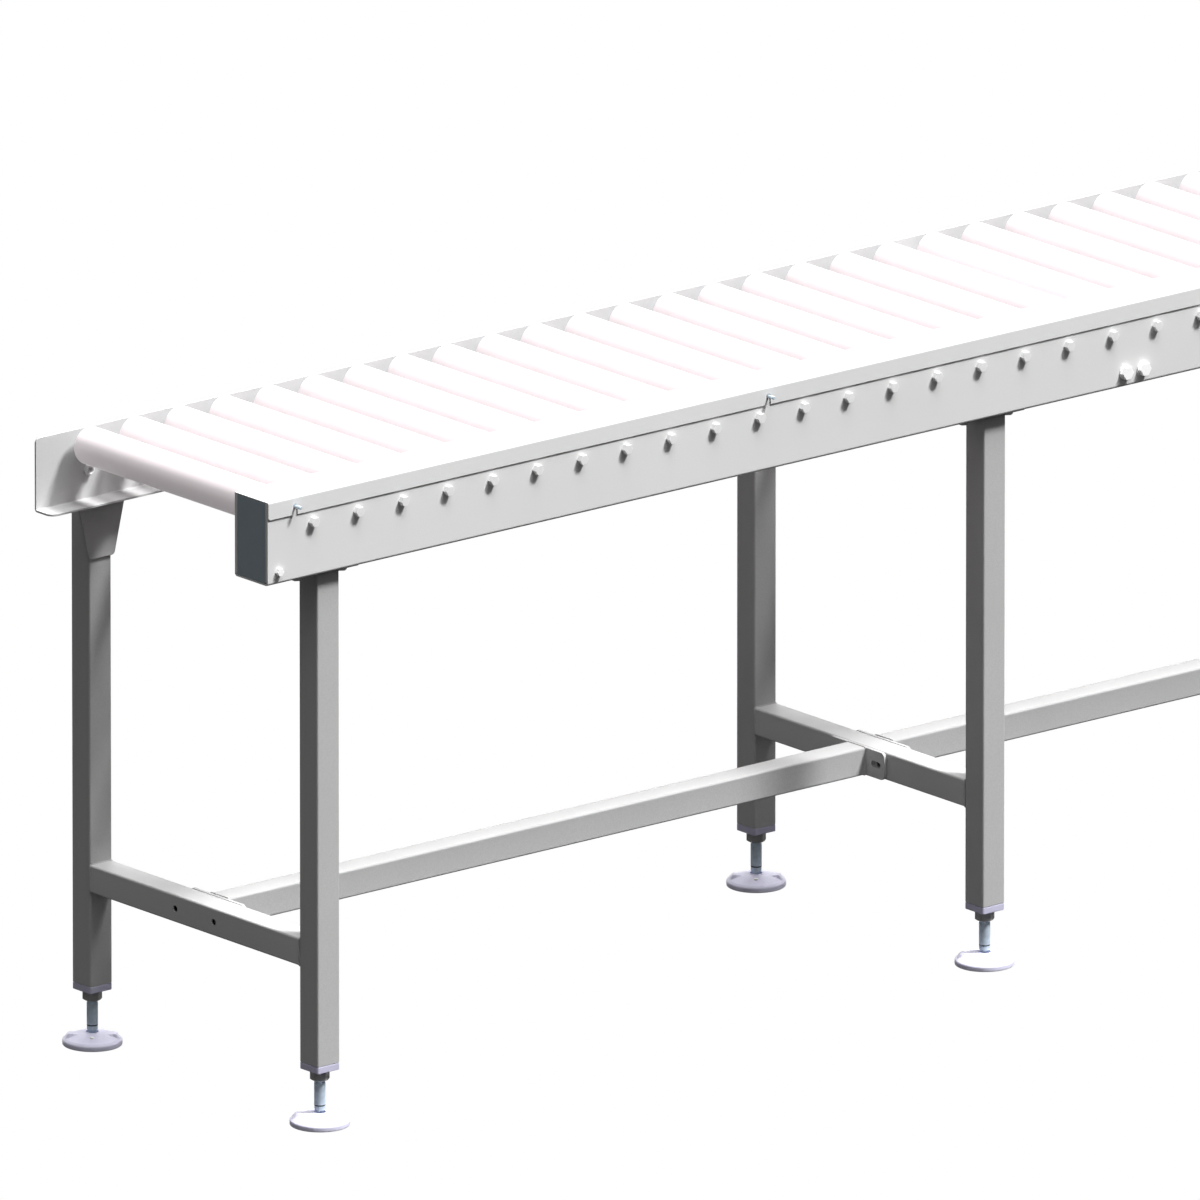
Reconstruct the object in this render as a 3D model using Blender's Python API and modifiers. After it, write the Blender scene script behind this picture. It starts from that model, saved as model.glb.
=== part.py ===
"""Gravity roller conveyor: 32 free-running rollers between a covered side box and an open side rail, on three
welded leg frames with adjustable feet.

Metres, +Z up. The origin is on the floor under the middle of the conveyor. X runs along the conveyor, Y across
it, from the side box (-Y) to the open rail (+Y).
"""

from math import cos, pi, radians, sin, sqrt, tan

import bmesh
import bpy
from mathutils import Matrix, Vector

# Rollers
ROLLER_PITCH = 0.080
ROLLER_COUNT = 32
ROLLER_RADIUS = 0.027
ROLLER_WALL = 0.0035
ROLLER_END_DISC = 0.006
ROLLER_BORE_RADIUS = 0.0070
AXLE_HEIGHT = 0.883
ROLLER_NEAR_END = -0.267
ROLLER_FAR_END = 0.210

# Conveyor length and the leg frames under it
LENGTH = 33 * ROLLER_PITCH
FRAME_PITCH = 15 * ROLLER_PITCH
FRAME_COUNT = 3

# Near side box: a U-shaped channel closed by a lift-off cover and two end caps
BOX_BOTTOM = 0.804
BOX_OUTER_FACE = -0.280
BOX_INNER_FACE = -0.2085
CHANNEL_WALL = 0.0025
CHANNEL_TOP = 0.9222
BEND_RADIUS = 0.003
ROLLER_NOTCH_RADIUS = 0.029

# Cover of the side box, and the pins that it hangs over
COVER_TOP = 0.924
COVER_WALL = 0.0015
COVER_LIP = 0.025
COVER_END_RADIUS = 0.004
PIN_PITCH = 0.848
PIN_COUNT = 4
PIN_RADIUS = 0.0025
PIN_HEIGHT = 0.911
PIN_TIP = -0.294
PIN_NOTCH_RADIUS = 0.0035

# End caps of the side box
CAP_PLATE = 0.003
CAP_TAB = 0.027
CAP_SCREW_FROM_END = 0.019
CAP_SCREW_HEIGHT = 0.822

# Far side rail, an L-shaped sheet
RAIL_OUTER_FACE = 0.228
RAIL_WALL = 0.003
RAIL_BOTTOM = 0.797
RAIL_TOP = 0.903
RAIL_FLANGE = 0.037
RAIL_TOP_CORNER = 0.005
RAIL_FLANGE_CORNER = 0.012

# Cross tie between the channel and the far rail
TIE_X = 0.240
TIE_WIDTH = 0.060
TIE_HEIGHT = 0.035
TIE_BOTTOM = 0.810
TIE_WALL = 0.0025
TIE_BOLT_SPACING = 0.032
TIE_BOLT_HEIGHT = 0.825

# Legs, cross tubes and the braces along the floor
TUBE = 0.040
TUBE_WALL = 0.0025
TUBE_CORNER = 0.002
NEAR_LEG_Y = -0.245
FAR_LEG_Y = 0.252
LEG_BOTTOM = 0.0898
CROSS_TUBE_HEIGHT = 0.247
HEAD_PLATE = (0.110, 0.040, 0.005)
HEAD_BOLT_X = 0.040
BRACKET_TOP = 0.866
BRACKET_SHOULDER = 0.783
BRACKET_BOTTOM = 0.709
BRACKET_HALF_WIDTH = 0.040
BRACKET_HALF_FOOT = 0.0225
BRACKET_CORNER = 0.006
BRACKET_BOLT_X = 0.028
BRACKET_BOLT_HEIGHT = 0.842
BRACE_Y = (NEAR_LEG_Y + FAR_LEG_Y) / 2
BRACE_PLATE = (0.005, 0.120, 0.040)
BRACE_PLATE_CORNER = 0.008
BRACE_HOLE_SPACING = 0.084
BRACE_SLOT = (0.020, 0.009)
CROSS_HOLE_RADIUS = 0.00475

# Adjustable feet
INSERT_FLANGE_BOTTOM = 0.0795
INSERT_FLANGE_TOP = 0.0895
INSERT_PLUG_TOP = 0.115
JAM_NUT_ACROSS_FLATS = 0.024
JAM_NUT_BOTTOM = 0.0645
SPINDLE_RADIUS = 0.008
SPINDLE_BORE_RADIUS = 0.0083
SPINDLE_TOP = 0.170
SPINDLE_SHOULDER = 0.030
SPINDLE_NECK_RADIUS = 0.0071
BALL_HEIGHT = 0.0135
BALL_RADIUS = 0.0078
PAD_RADIUS = 0.042
PAD_RIM = 0.008
PAD_TOP = 0.018
PAD_POCKET_RADIUS = 0.0095
PAD_POCKET_FLOOR = 0.005

# Fasteners
M6_ACROSS_FLATS = 0.010
M8_ACROSS_FLATS = 0.013
M10_ACROSS_FLATS = 0.017
AXLE_BOLT_HEAD = 0.0078
M10_HEAD = 0.0084
M8_HEAD = 0.008
M6_HEAD = 0.006

GAP = 0.0003
WELD_OVERLAP = 0.0005
ROLLER_SEGMENTS = 12
FOOT_SEGMENTS = 12
PAD_SEGMENTS = 16
ARC_STEPS = 3

TURN_Z_TO_Y = Matrix.Rotation(-pi / 2, 4, "X")
TURN_XY_TO_XZ = Matrix.Rotation(pi / 2, 4, "X")
TURN_XY_TO_YZ = Matrix.Rotation(pi / 2, 4, "Z") @ Matrix.Rotation(pi / 2, 4, "X")


def new_collection(name):
    collection = bpy.data.collections.new(name)
    bpy.context.scene.collection.children.link(collection)
    return collection


def new_material(name, color, roughness, metallic):
    material = bpy.data.materials.new(name)
    material.use_nodes = True
    shader = material.node_tree.nodes["Principled BSDF"]
    shader.inputs["Base Color"].default_value = (*color, 1.0)
    shader.inputs["Roughness"].default_value = roughness
    shader.inputs["Metallic"].default_value = metallic
    return material


def new_object(name, mesh, place=None):
    obj = bpy.data.objects.new(name, mesh)
    obj.matrix_world = place or Matrix.Identity(4)
    helpers.objects.link(obj)
    obj.hide_render = True
    obj.display_type = "WIRE"
    return obj


def mesh_of(name, bm):
    bmesh.ops.recalc_face_normals(bm, faces=bm.faces[:])
    mesh = bpy.data.meshes.new(name)
    bm.to_mesh(mesh)
    bm.free()
    return mesh


def block(name, low, high):
    """A box between two corners, with its origin at its middle."""
    bm = bmesh.new()
    bmesh.ops.create_cube(bm, size=1.0)
    low, high = Vector(low), Vector(high)
    bmesh.ops.scale(bm, vec=high - low, verts=bm.verts)
    return new_object(name, mesh_of(name, bm), Matrix.Translation((low + high) / 2))


def prism(name, radius, start, end, sides, turn=0.0):
    """A straight prism between two points on one axis, X, Y or Z."""
    start, end = Vector(start), Vector(end)
    bm = bmesh.new()
    bmesh.ops.create_cone(
        bm,
        cap_ends=True,
        segments=sides,
        radius1=radius,
        radius2=radius,
        depth=(end - start).length,
        matrix=Matrix.Rotation(turn, 4, "Z"),
    )
    aim = Vector((0, 0, 1)).rotation_difference(end - start).to_matrix().to_4x4()
    return new_object(name, mesh_of(name, bm), Matrix.Translation((start + end) / 2) @ aim)


def hexagon(name, across_flats, start, end):
    """A bolt head, a nut or a bolt's shank."""
    return prism(name, across_flats / sqrt(3), start, end, 6)


def square_tube(name, low, high, axis, wall, corner):
    """A hollow tube with open ends: a box without its end faces, bevelled along its length, then given a wall."""
    bm = bmesh.new()
    bmesh.ops.create_cube(bm, size=1.0)
    ends = [face for face in bm.faces if abs(face.normal[axis]) > 0.5]
    bmesh.ops.delete(bm, geom=ends, context="FACES_ONLY")
    low, high = Vector(low), Vector(high)
    bmesh.ops.scale(bm, vec=high - low, verts=bm.verts)
    obj = new_object(name, mesh_of(name, bm), Matrix.Translation((low + high) / 2))
    bevel(obj, corner, 1)
    solidify(obj, wall, -1)
    return obj


def folded_sheet(name, folds, wall, side, bend, corners=()):
    """A sheet of the conveyor's whole length, folded along the points (y, z), with its free corners rounded."""
    bm = bmesh.new()
    path = [bm.verts.new((-LENGTH / 2, y, z)) for y, z in folds]
    edges = [bm.edges.new(pair) for pair in zip(path, path[1:])]
    swept = bmesh.ops.extrude_edge_only(bm, edges=edges)["geom"]
    far_end = [item for item in swept if isinstance(item, bmesh.types.BMVert)]
    bmesh.ops.translate(bm, vec=(LENGTH, 0, 0), verts=far_end)
    for fold, radius in corners:
        y, z = folds[fold]
        at = [v for v in bm.verts if (v.co.yz - Vector((y, z))).length < GAP]
        bmesh.ops.bevel(bm, geom=at, offset=radius, segments=ARC_STEPS, profile=0.5, affect="VERTICES")
    obj = new_object(name, mesh_of(name, bm))
    bevel(obj, bend, 2)
    solidify(obj, wall, side)
    return obj


def rounded(points, radius):
    """The closed outline through these points with each corner turned into an arc."""
    outline = []
    for i, corner in enumerate(points):
        corner = Vector(corner)
        back = (Vector(points[i - 1]) - corner).normalized()
        ahead = (Vector(points[(i + 1) % len(points)]) - corner).normalized()
        half_angle = back.angle(ahead) / 2
        centre = corner + (back + ahead).normalized() * radius / sin(half_angle)
        first = corner + back * radius / tan(half_angle) - centre
        last = corner + ahead * radius / tan(half_angle) - centre
        swing = first.angle_signed(last)
        for step in range(ARC_STEPS + 1):
            turn = -swing * step / ARC_STEPS
            x, y = first
            outline.append(centre + Vector((x * cos(turn) - y * sin(turn), x * sin(turn) + y * cos(turn))))
    return outline


def plate(name, outline, thickness, place):
    """A flat plate: a filled 2D curve extruded by half its thickness each way, then made a mesh."""
    curve = bpy.data.curves.new(name, "CURVE")
    curve.dimensions = "2D"
    curve.fill_mode = "BOTH"
    curve.extrude = thickness / 2
    spline = curve.splines.new("POLY")
    spline.points.add(len(outline) - 1)
    spline.use_cyclic_u = True
    for point, (x, y) in zip(spline.points, outline):
        point.co = (x, y, 0, 1)
    drawn = new_object(name + "_outline", curve)
    bm = bmesh.new()
    bm.from_mesh(evaluated_mesh(drawn))
    bpy.data.objects.remove(drawn)
    bmesh.ops.remove_doubles(bm, verts=bm.verts, dist=1e-5)
    return new_object(name, mesh_of(name, bm), place)


def rectangle(width, height):
    x, y = width / 2, height / 2
    return [(-x, -y), (x, -y), (x, y), (-x, y)]


def turned(name, profile, segments, place, closed_profile):
    """A turned piece: the profile (radius, height), drawn from top to bottom down its outer side, around Z."""
    bm = bmesh.new()
    points = [bm.verts.new((radius, 0, height)) for radius, height in profile]
    for pair in zip(points, points[1:]):
        bm.edges.new(pair)
    if closed_profile:
        bm.edges.new((points[-1], points[0]))
    mesh = bpy.data.meshes.new(name)
    bm.to_mesh(mesh)
    bm.free()
    obj = new_object(name, mesh, place)
    screw = obj.modifiers.new("turn", "SCREW")
    screw.steps = segments
    screw.render_steps = segments
    screw.use_merge_vertices = True
    screw.merge_threshold = 1e-5
    return obj


def bevel(obj, width, segments):
    modifier = obj.modifiers.new("bends", "BEVEL")
    modifier.width = width
    modifier.segments = segments
    modifier.limit_method = "ANGLE"


def solidify(obj, wall, side):
    modifier = obj.modifiers.new("wall", "SOLIDIFY")
    modifier.thickness = wall
    modifier.offset = side
    modifier.use_even_offset = True


def boolean(obj, operation, other):
    modifier = obj.modifiers.new(other.name, "BOOLEAN")
    modifier.operation = operation
    modifier.object = other
    modifier.solver = "EXACT"


def weld(obj, *others):
    for other in others:
        boolean(obj, "UNION", other)


def cut(obj, *others):
    for other in others:
        boolean(obj, "DIFFERENCE", other)


def evaluated_mesh(obj):
    bpy.context.view_layer.update()
    graph = bpy.context.evaluated_depsgraph_get()
    return bpy.data.meshes.new_from_object(obj.evaluated_get(graph))


def finished_mesh(obj, material, round_angle=35):
    """The piece with its modifiers applied, moved so that the mesh is in world space, ready to be shared."""
    mesh = evaluated_mesh(obj)
    mesh.transform(obj.matrix_world)
    mesh.materials.clear()
    mesh.materials.append(material)
    mesh.shade_smooth()
    mesh.set_sharp_from_angle(angle=radians(round_angle))
    return mesh


def place_part(name, mesh, origin=(0, 0, 0), parent=None):
    """One named piece of the conveyor, with its origin at the given point."""
    obj = bpy.data.objects.new(name, mesh)
    conveyor.objects.link(obj)
    obj.parent = parent
    obj.location = Vector(origin) - (parent.location if parent else Vector((0, 0, 0)))
    return obj


def roller_xs():
    first = -(ROLLER_COUNT - 1) / 2 * ROLLER_PITCH
    return [first + i * ROLLER_PITCH for i in range(ROLLER_COUNT)]


def frame_xs():
    first = -(FRAME_COUNT - 1) / 2 * FRAME_PITCH
    return [first + i * FRAME_PITCH for i in range(FRAME_COUNT)]


def pin_xs():
    first = -(PIN_COUNT - 1) / 2 * PIN_PITCH
    return [first + i * PIN_PITCH for i in range(PIN_COUNT)]


def make_rollers():
    """A tube with an end disc at each end, bored for its axle, on an axis along Y."""
    half = (ROLLER_FAR_END - ROLLER_NEAR_END) / 2
    inside = ROLLER_RADIUS - ROLLER_WALL
    disc = half - ROLLER_END_DISC
    profile = [
        (ROLLER_RADIUS, half),
        (ROLLER_RADIUS, -half),
        (ROLLER_BORE_RADIUS, -half),
        (ROLLER_BORE_RADIUS, -disc),
        (inside, -disc),
        (inside, disc),
        (ROLLER_BORE_RADIUS, disc),
        (ROLLER_BORE_RADIUS, half),
    ]
    roller = turned("roller", profile, ROLLER_SEGMENTS, TURN_Z_TO_Y, True)
    mesh = finished_mesh(roller, roller_plastic)
    middle = (ROLLER_FAR_END + ROLLER_NEAR_END) / 2
    for number, x in enumerate(roller_xs(), 1):
        place_part(f"roller_{number:02d}", mesh, (x, middle, AXLE_HEIGHT))


def roller_notch(number, x):
    """The open-topped slot that one roller passes through: half a cylinder with a box above it."""
    y_low, y_high = BOX_INNER_FACE - 2 * CHANNEL_WALL, BOX_INNER_FACE + CHANNEL_WALL
    start, end = (x, y_low, AXLE_HEIGHT), (x, y_high, AXLE_HEIGHT)
    turn = pi / FOOT_SEGMENTS
    notch = prism(f"notch_{number}", ROLLER_NOTCH_RADIUS, start, end, FOOT_SEGMENTS, turn)
    side = ROLLER_NOTCH_RADIUS * cos(turn)
    low = (x - side, y_low, AXLE_HEIGHT)
    above = block(f"notch_top_{number}", low, (x + side, y_high, COVER_TOP))
    weld(notch, above)
    return notch


def merged(name, pieces):
    """One helper mesh that holds these helpers' finished shapes, each still its own closed shape."""
    bm = bmesh.new()
    for piece in pieces:
        mesh = evaluated_mesh(piece)
        mesh.transform(piece.matrix_world)
        bm.from_mesh(mesh)
    return new_object(name, mesh_of(name, bm))


def make_near_channel():
    """The U-shaped channel, its roller notches and tie window, and what is bolted or riveted into it."""
    folds = [
        (BOX_OUTER_FACE, CHANNEL_TOP),
        (BOX_OUTER_FACE, BOX_BOTTOM),
        (BOX_INNER_FACE, BOX_BOTTOM),
        (BOX_INNER_FACE, CHANNEL_TOP),
    ]
    channel = folded_sheet("near_channel", folds, CHANNEL_WALL, -1, BEND_RADIUS)
    cut(channel, merged("roller_notches", [roller_notch(i, x) for i, x in enumerate(roller_xs())]))
    window_margin = 0.0015
    half_window = TIE_WIDTH / 2 + window_margin
    window = block(
        "tie_window",
        (TIE_X - half_window, BOX_INNER_FACE - 2 * CHANNEL_WALL, TIE_BOTTOM - window_margin),
        (TIE_X + half_window, BOX_INNER_FACE + CHANNEL_WALL, TIE_BOTTOM + TIE_HEIGHT + window_margin),
    )
    cut(channel, window)
    fixings = []
    for x in roller_xs():
        head = (x, BOX_OUTER_FACE - AXLE_BOLT_HEAD, AXLE_HEIGHT)
        stub = (x, ROLLER_NEAR_END - GAP, AXLE_HEIGHT)
        fixings.append(hexagon("axle_end", M8_ACROSS_FLATS, head, stub))
    inside = BOX_OUTER_FACE + CHANNEL_WALL - WELD_OVERLAP
    for x in pin_xs():
        fixings.append(prism("pin", PIN_RADIUS, (x, PIN_TIP, PIN_HEIGHT), (x, inside, PIN_HEIGHT), 8))
    for side in (-1, 1):
        x = TIE_X + side * TIE_BOLT_SPACING / 2
        head = (x, BOX_OUTER_FACE - M10_HEAD, TIE_BOLT_HEIGHT)
        fixings.append(hexagon("tie_bolt", M10_ACROSS_FLATS, head, (x, inside, TIE_BOLT_HEIGHT)))
        x = side * (LENGTH / 2 - CAP_SCREW_FROM_END)
        head = (x, BOX_OUTER_FACE - M6_HEAD, CAP_SCREW_HEIGHT)
        fixings.append(hexagon("cap_screw", M6_ACROSS_FLATS, head, (x, inside, CAP_SCREW_HEIGHT)))
    weld(channel, merged("channel_fixings", fixings))
    place_part("near_side_channel", finished_mesh(channel, painted_sheet))


def make_side_cover():
    """The cover: a top plate with an outer lip, whose open notches drop over the channel's pins."""
    outer = BOX_OUTER_FACE - GAP - COVER_WALL
    folds = [(outer, COVER_TOP - COVER_LIP), (outer, COVER_TOP), (BOX_INNER_FACE, COVER_TOP)]
    corners = [(0, COVER_END_RADIUS)]
    cover = folded_sheet("cover", folds, COVER_WALL, -1, COVER_WALL, corners)
    notches = []
    for x in pin_xs():
        start, end = (x, outer - COVER_WALL, PIN_HEIGHT), (x, outer + 2 * COVER_WALL, PIN_HEIGHT)
        turn = pi / FOOT_SEGMENTS
        arch = prism("arch", PIN_NOTCH_RADIUS, start, end, FOOT_SEGMENTS, turn)
        side = PIN_NOTCH_RADIUS * cos(turn)
        low = (x - side, outer - COVER_WALL, COVER_TOP - 2 * COVER_LIP)
        weld(arch, block("slot", low, (x + side, outer + 2 * COVER_WALL, PIN_HEIGHT)))
        notches.append(arch)
    cut(cover, merged("pin_notches", notches))
    place_part("side_cover", finished_mesh(cover, painted_sheet))


def make_end_caps():
    """Each cap is a plate that fills the box's end, with a tab along the outer web that its screw holds."""
    y_low = BOX_OUTER_FACE + CHANNEL_WALL + GAP
    y_high = BOX_INNER_FACE - CHANNEL_WALL - GAP
    z_low = BOX_BOTTOM + CHANNEL_WALL + GAP
    z_high = CHANNEL_TOP - GAP
    for name, side in (("end_cap_infeed", -1), ("end_cap_outfeed", 1)):
        end = side * LENGTH / 2
        inner = end - side * CAP_PLATE
        tab_end = inner - side * CAP_TAB
        cap = block(name + "_plate", (min(end, inner), y_low, z_low), (max(end, inner), y_high, z_high))
        tab_start = inner + side * WELD_OVERLAP
        half_tab = 0.010
        tab = block(
            name + "_tab",
            (min(tab_start, tab_end), y_low, CAP_SCREW_HEIGHT - half_tab),
            (max(tab_start, tab_end), y_low + CAP_PLATE, CAP_SCREW_HEIGHT + half_tab),
        )
        weld(cap, tab)
        place_part(name, finished_mesh(cap, cap_plastic))


def make_far_rail():
    """The L-shaped rail with its roller bolts and bracket nuts, and the cross tie fastened to it."""
    flange_edge = RAIL_OUTER_FACE - RAIL_FLANGE
    folds = [(flange_edge, RAIL_BOTTOM), (RAIL_OUTER_FACE, RAIL_BOTTOM), (RAIL_OUTER_FACE, RAIL_TOP)]
    corners = [(0, RAIL_FLANGE_CORNER), (2, RAIL_TOP_CORNER)]
    rail = folded_sheet("far_rail", folds, RAIL_WALL, -1, BEND_RADIUS, corners)
    inner_face = RAIL_OUTER_FACE - RAIL_WALL
    fixings = []
    for x in roller_xs():
        stub = (x, ROLLER_FAR_END + GAP, AXLE_HEIGHT)
        head = (x, RAIL_OUTER_FACE + AXLE_BOLT_HEAD, AXLE_HEIGHT)
        fixings.append(hexagon("axle_end", M8_ACROSS_FLATS, stub, head))
    for frame_x in frame_xs():
        for side in (-1, 1):
            x = frame_x + side * BRACKET_BOLT_X
            nut = (x, inner_face - M8_HEAD, BRACKET_BOLT_HEIGHT)
            end = (x, inner_face + WELD_OVERLAP, BRACKET_BOLT_HEIGHT)
            fixings.append(hexagon("bracket_nut", M8_ACROSS_FLATS, nut, end))
    weld(rail, merged("rail_fixings", fixings))
    tie_start = BOX_OUTER_FACE + CHANNEL_WALL + 2 * GAP
    low = (TIE_X - TIE_WIDTH / 2, tie_start, TIE_BOTTOM)
    high = (TIE_X + TIE_WIDTH / 2, inner_face + WELD_OVERLAP, TIE_BOTTOM + TIE_HEIGHT)
    weld(rail, square_tube("cross_tie", low, high, 1, TIE_WALL, TUBE_CORNER))
    place_part("far_side_rail", finished_mesh(rail, painted_sheet))


def leg_tube(name, y, top):
    half = TUBE / 2
    return square_tube(name, (-half, y - half, LEG_BOTTOM), (half, y + half, top), 2, TUBE_WALL, TUBE_CORNER)


def bracket_outline():
    """Wide where it is bolted to the rail, tapering down to the width of the leg."""
    wide, narrow = BRACKET_HALF_WIDTH, BRACKET_HALF_FOOT
    points = [
        (-narrow, BRACKET_BOTTOM),
        (narrow, BRACKET_BOTTOM),
        (wide, BRACKET_SHOULDER),
        (wide, BRACKET_TOP),
        (-wide, BRACKET_TOP),
        (-wide, BRACKET_SHOULDER),
    ]
    return rounded(points, BRACKET_CORNER)


def make_leg_frames():
    """A welded frame: two legs, a cross tube, a head plate under the box and a bracket plate behind the rail."""
    half = TUBE / 2
    plate_top = BOX_BOTTOM - GAP
    plate_bottom = plate_top - HEAD_PLATE[2]
    near = leg_tube("near_leg", NEAR_LEG_Y, plate_bottom + WELD_OVERLAP)
    far = leg_tube("far_leg", FAR_LEG_Y, BRACKET_TOP)
    cross = square_tube(
        "cross_tube",
        (-half, NEAR_LEG_Y + half - WELD_OVERLAP, CROSS_TUBE_HEIGHT - half),
        (half, FAR_LEG_Y - half + WELD_OVERLAP, CROSS_TUBE_HEIGHT + half),
        1,
        TUBE_WALL,
        TUBE_CORNER,
    )
    length, width, thickness = HEAD_PLATE
    head = plate(
        "head_plate",
        rounded(rectangle(length, width), TUBE_CORNER),
        thickness,
        Matrix.Translation((0, NEAR_LEG_Y, plate_top - thickness / 2)),
    )
    bracket_inner = RAIL_OUTER_FACE + GAP
    bracket_outer = FAR_LEG_Y - half + WELD_OVERLAP
    bracket = plate(
        "bracket_plate",
        bracket_outline(),
        bracket_outer - bracket_inner,
        Matrix.Translation((0, (bracket_inner + bracket_outer) / 2, 0)) @ TURN_XY_TO_XZ,
    )
    lid = block(
        "leg_lid",
        (-half + TUBE_CORNER, FAR_LEG_Y - half + TUBE_CORNER, BRACKET_TOP - TUBE_WALL),
        (half - TUBE_CORNER, FAR_LEG_Y + half - TUBE_CORNER, BRACKET_TOP - WELD_OVERLAP),
    )
    bolts = []
    for side in (-1, 1):
        x = side * HEAD_BOLT_X
        low, high = (x, NEAR_LEG_Y, plate_bottom - M8_HEAD), (x, NEAR_LEG_Y, plate_bottom + WELD_OVERLAP)
        bolts.append(hexagon("head_bolt", M8_ACROSS_FLATS, low, high))
        x = side * BRACKET_BOLT_X
        low = (x, bracket_outer - WELD_OVERLAP, BRACKET_BOLT_HEIGHT)
        high = (x, bracket_outer + M8_HEAD, BRACKET_BOLT_HEIGHT)
        bolts.append(hexagon("bracket_bolt", M8_ACROSS_FLATS, low, high))
    weld(near, far, cross, head, bracket, lid, merged("frame_bolts", bolts))
    holes = []
    for side in (-1, 1):
        y = BRACE_Y + side * BRACE_HOLE_SPACING / 2
        ends = (-TUBE, y, CROSS_TUBE_HEIGHT), (TUBE, y, CROSS_TUBE_HEIGHT)
        holes.append(prism("brace_hole", CROSS_HOLE_RADIUS, *ends, 8))
    cut(near, merged("brace_holes", holes))
    mesh = finished_mesh(near, painted_tube)
    for number, x in enumerate(frame_xs(), 1):
        place_part(f"leg_frame_{number}", mesh, (x, 0, 0))


def make_floor_braces():
    """A tube between two leg frames, with a slotted end plate at each end."""
    half = TUBE / 2
    end = FRAME_PITCH / 2 - half - GAP
    thickness, width, height = BRACE_PLATE
    tube_end = end - thickness + WELD_OVERLAP
    low = (-tube_end, BRACE_Y - half, CROSS_TUBE_HEIGHT - half)
    high = (tube_end, BRACE_Y + half, CROSS_TUBE_HEIGHT + half)
    brace = square_tube("brace_tube", low, high, 0, TUBE_WALL, TUBE_CORNER)
    slot_length, slot_height = BRACE_SLOT
    slots = []
    for side in (-1, 1):
        place = Matrix.Translation((side * (end - thickness / 2), BRACE_Y, CROSS_TUBE_HEIGHT))
        outline = rounded(rectangle(width, height), BRACE_PLATE_CORNER)
        end_plate = plate("end_plate", outline, thickness, place @ TURN_XY_TO_YZ)
        vent = prism(
            "vent",
            CROSS_HOLE_RADIUS,
            (side * (end - 2 * thickness), BRACE_Y, CROSS_TUBE_HEIGHT),
            (side * (end + thickness), BRACE_Y, CROSS_TUBE_HEIGHT),
            8,
        )
        slots.append(vent)
        for across in (-1, 1):
            shift = Matrix.Translation((0, across * BRACE_HOLE_SPACING / 2, 0))
            ends = rounded(rectangle(slot_length, slot_height), slot_height / 2 - 1e-5)
            slots.append(plate("slot", ends, 3 * thickness, shift @ place @ TURN_XY_TO_YZ))
        weld(brace, end_plate)
    cut(brace, merged("brace_slots", slots))
    mesh = finished_mesh(brace, painted_tube)
    for number in range(1, FRAME_COUNT):
        place_part(f"floor_brace_{number}", mesh, ((number - FRAME_COUNT / 2) * FRAME_PITCH, 0, 0))


def make_feet():
    """Each foot: a threaded insert with its jam nut, a spindle with a ball end, and a pad that tilts on the ball."""
    half = TUBE / 2
    plug = half - TUBE_WALL - GAP
    insert = block("flange", (-half, -half, INSERT_FLANGE_BOTTOM), (half, half, INSERT_FLANGE_TOP))
    boss = block("plug", (-plug, -plug, INSERT_FLANGE_TOP - WELD_OVERLAP), (plug, plug, INSERT_PLUG_TOP))
    nut_top = INSERT_FLANGE_BOTTOM + WELD_OVERLAP
    nut = hexagon("jam_nut", JAM_NUT_ACROSS_FLATS, (0, 0, JAM_NUT_BOTTOM), (0, 0, nut_top))
    weld(insert, boss, nut)
    cut(insert, prism("bore", SPINDLE_BORE_RADIUS, (0, 0, 0), (0, 0, SPINDLE_TOP), FOOT_SEGMENTS))
    insert_mesh = finished_mesh(insert, insert_plastic)

    neck = BALL_RADIUS * cos(radians(60))
    ball = [
        (BALL_RADIUS * sin(radians(angle)), BALL_RADIUS * cos(radians(angle))) for angle in (60, 90, 135)
    ]
    spindle_profile = [
        (0, SPINDLE_TOP - BALL_HEIGHT),
        (SPINDLE_RADIUS, SPINDLE_TOP - BALL_HEIGHT),
        (SPINDLE_RADIUS, SPINDLE_SHOULDER - BALL_HEIGHT),
        (SPINDLE_NECK_RADIUS, SPINDLE_SHOULDER - BALL_HEIGHT - 0.001),
        (SPINDLE_NECK_RADIUS, neck + 0.001),
        *ball,
        (0, -BALL_RADIUS),
    ]
    spindle = turned("spindle", spindle_profile, FOOT_SEGMENTS, Matrix.Identity(4), False)
    spindle_mesh = finished_mesh(spindle, zinc_steel)

    pad_profile = [
        (0, PAD_POCKET_FLOOR),
        (PAD_POCKET_RADIUS, PAD_POCKET_FLOOR),
        (PAD_POCKET_RADIUS, PAD_TOP),
        (1.4 * PAD_POCKET_RADIUS, PAD_TOP),
        (0.9 * PAD_RADIUS, PAD_RIM + 0.001),
        (PAD_RADIUS, PAD_RIM - 0.002),
        (PAD_RADIUS, 0.001),
        (PAD_RADIUS - 0.001, 0),
        (0, 0),
    ]
    pad_profile = [(radius, height - BALL_HEIGHT) for radius, height in pad_profile]
    pad_mesh = finished_mesh(turned("pad", pad_profile, PAD_SEGMENTS, Matrix.Identity(4), False), pad_plastic)

    for number, x in enumerate(frame_xs(), 1):
        for side, y in (("near", NEAR_LEG_Y), ("far", FAR_LEG_Y)):
            place_part(f"foot_insert_{number}_{side}", insert_mesh, (x, y, 0))
            ball_centre = (x, y, BALL_HEIGHT)
            foot = place_part(f"foot_spindle_{number}_{side}", spindle_mesh, ball_centre)
            place_part(f"foot_pad_{number}_{side}", pad_mesh, ball_centre, foot)


for old in list(bpy.data.objects):
    bpy.data.objects.remove(old)

conveyor = new_collection("gravity_roller_conveyor")
helpers = new_collection("cutters")

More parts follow.
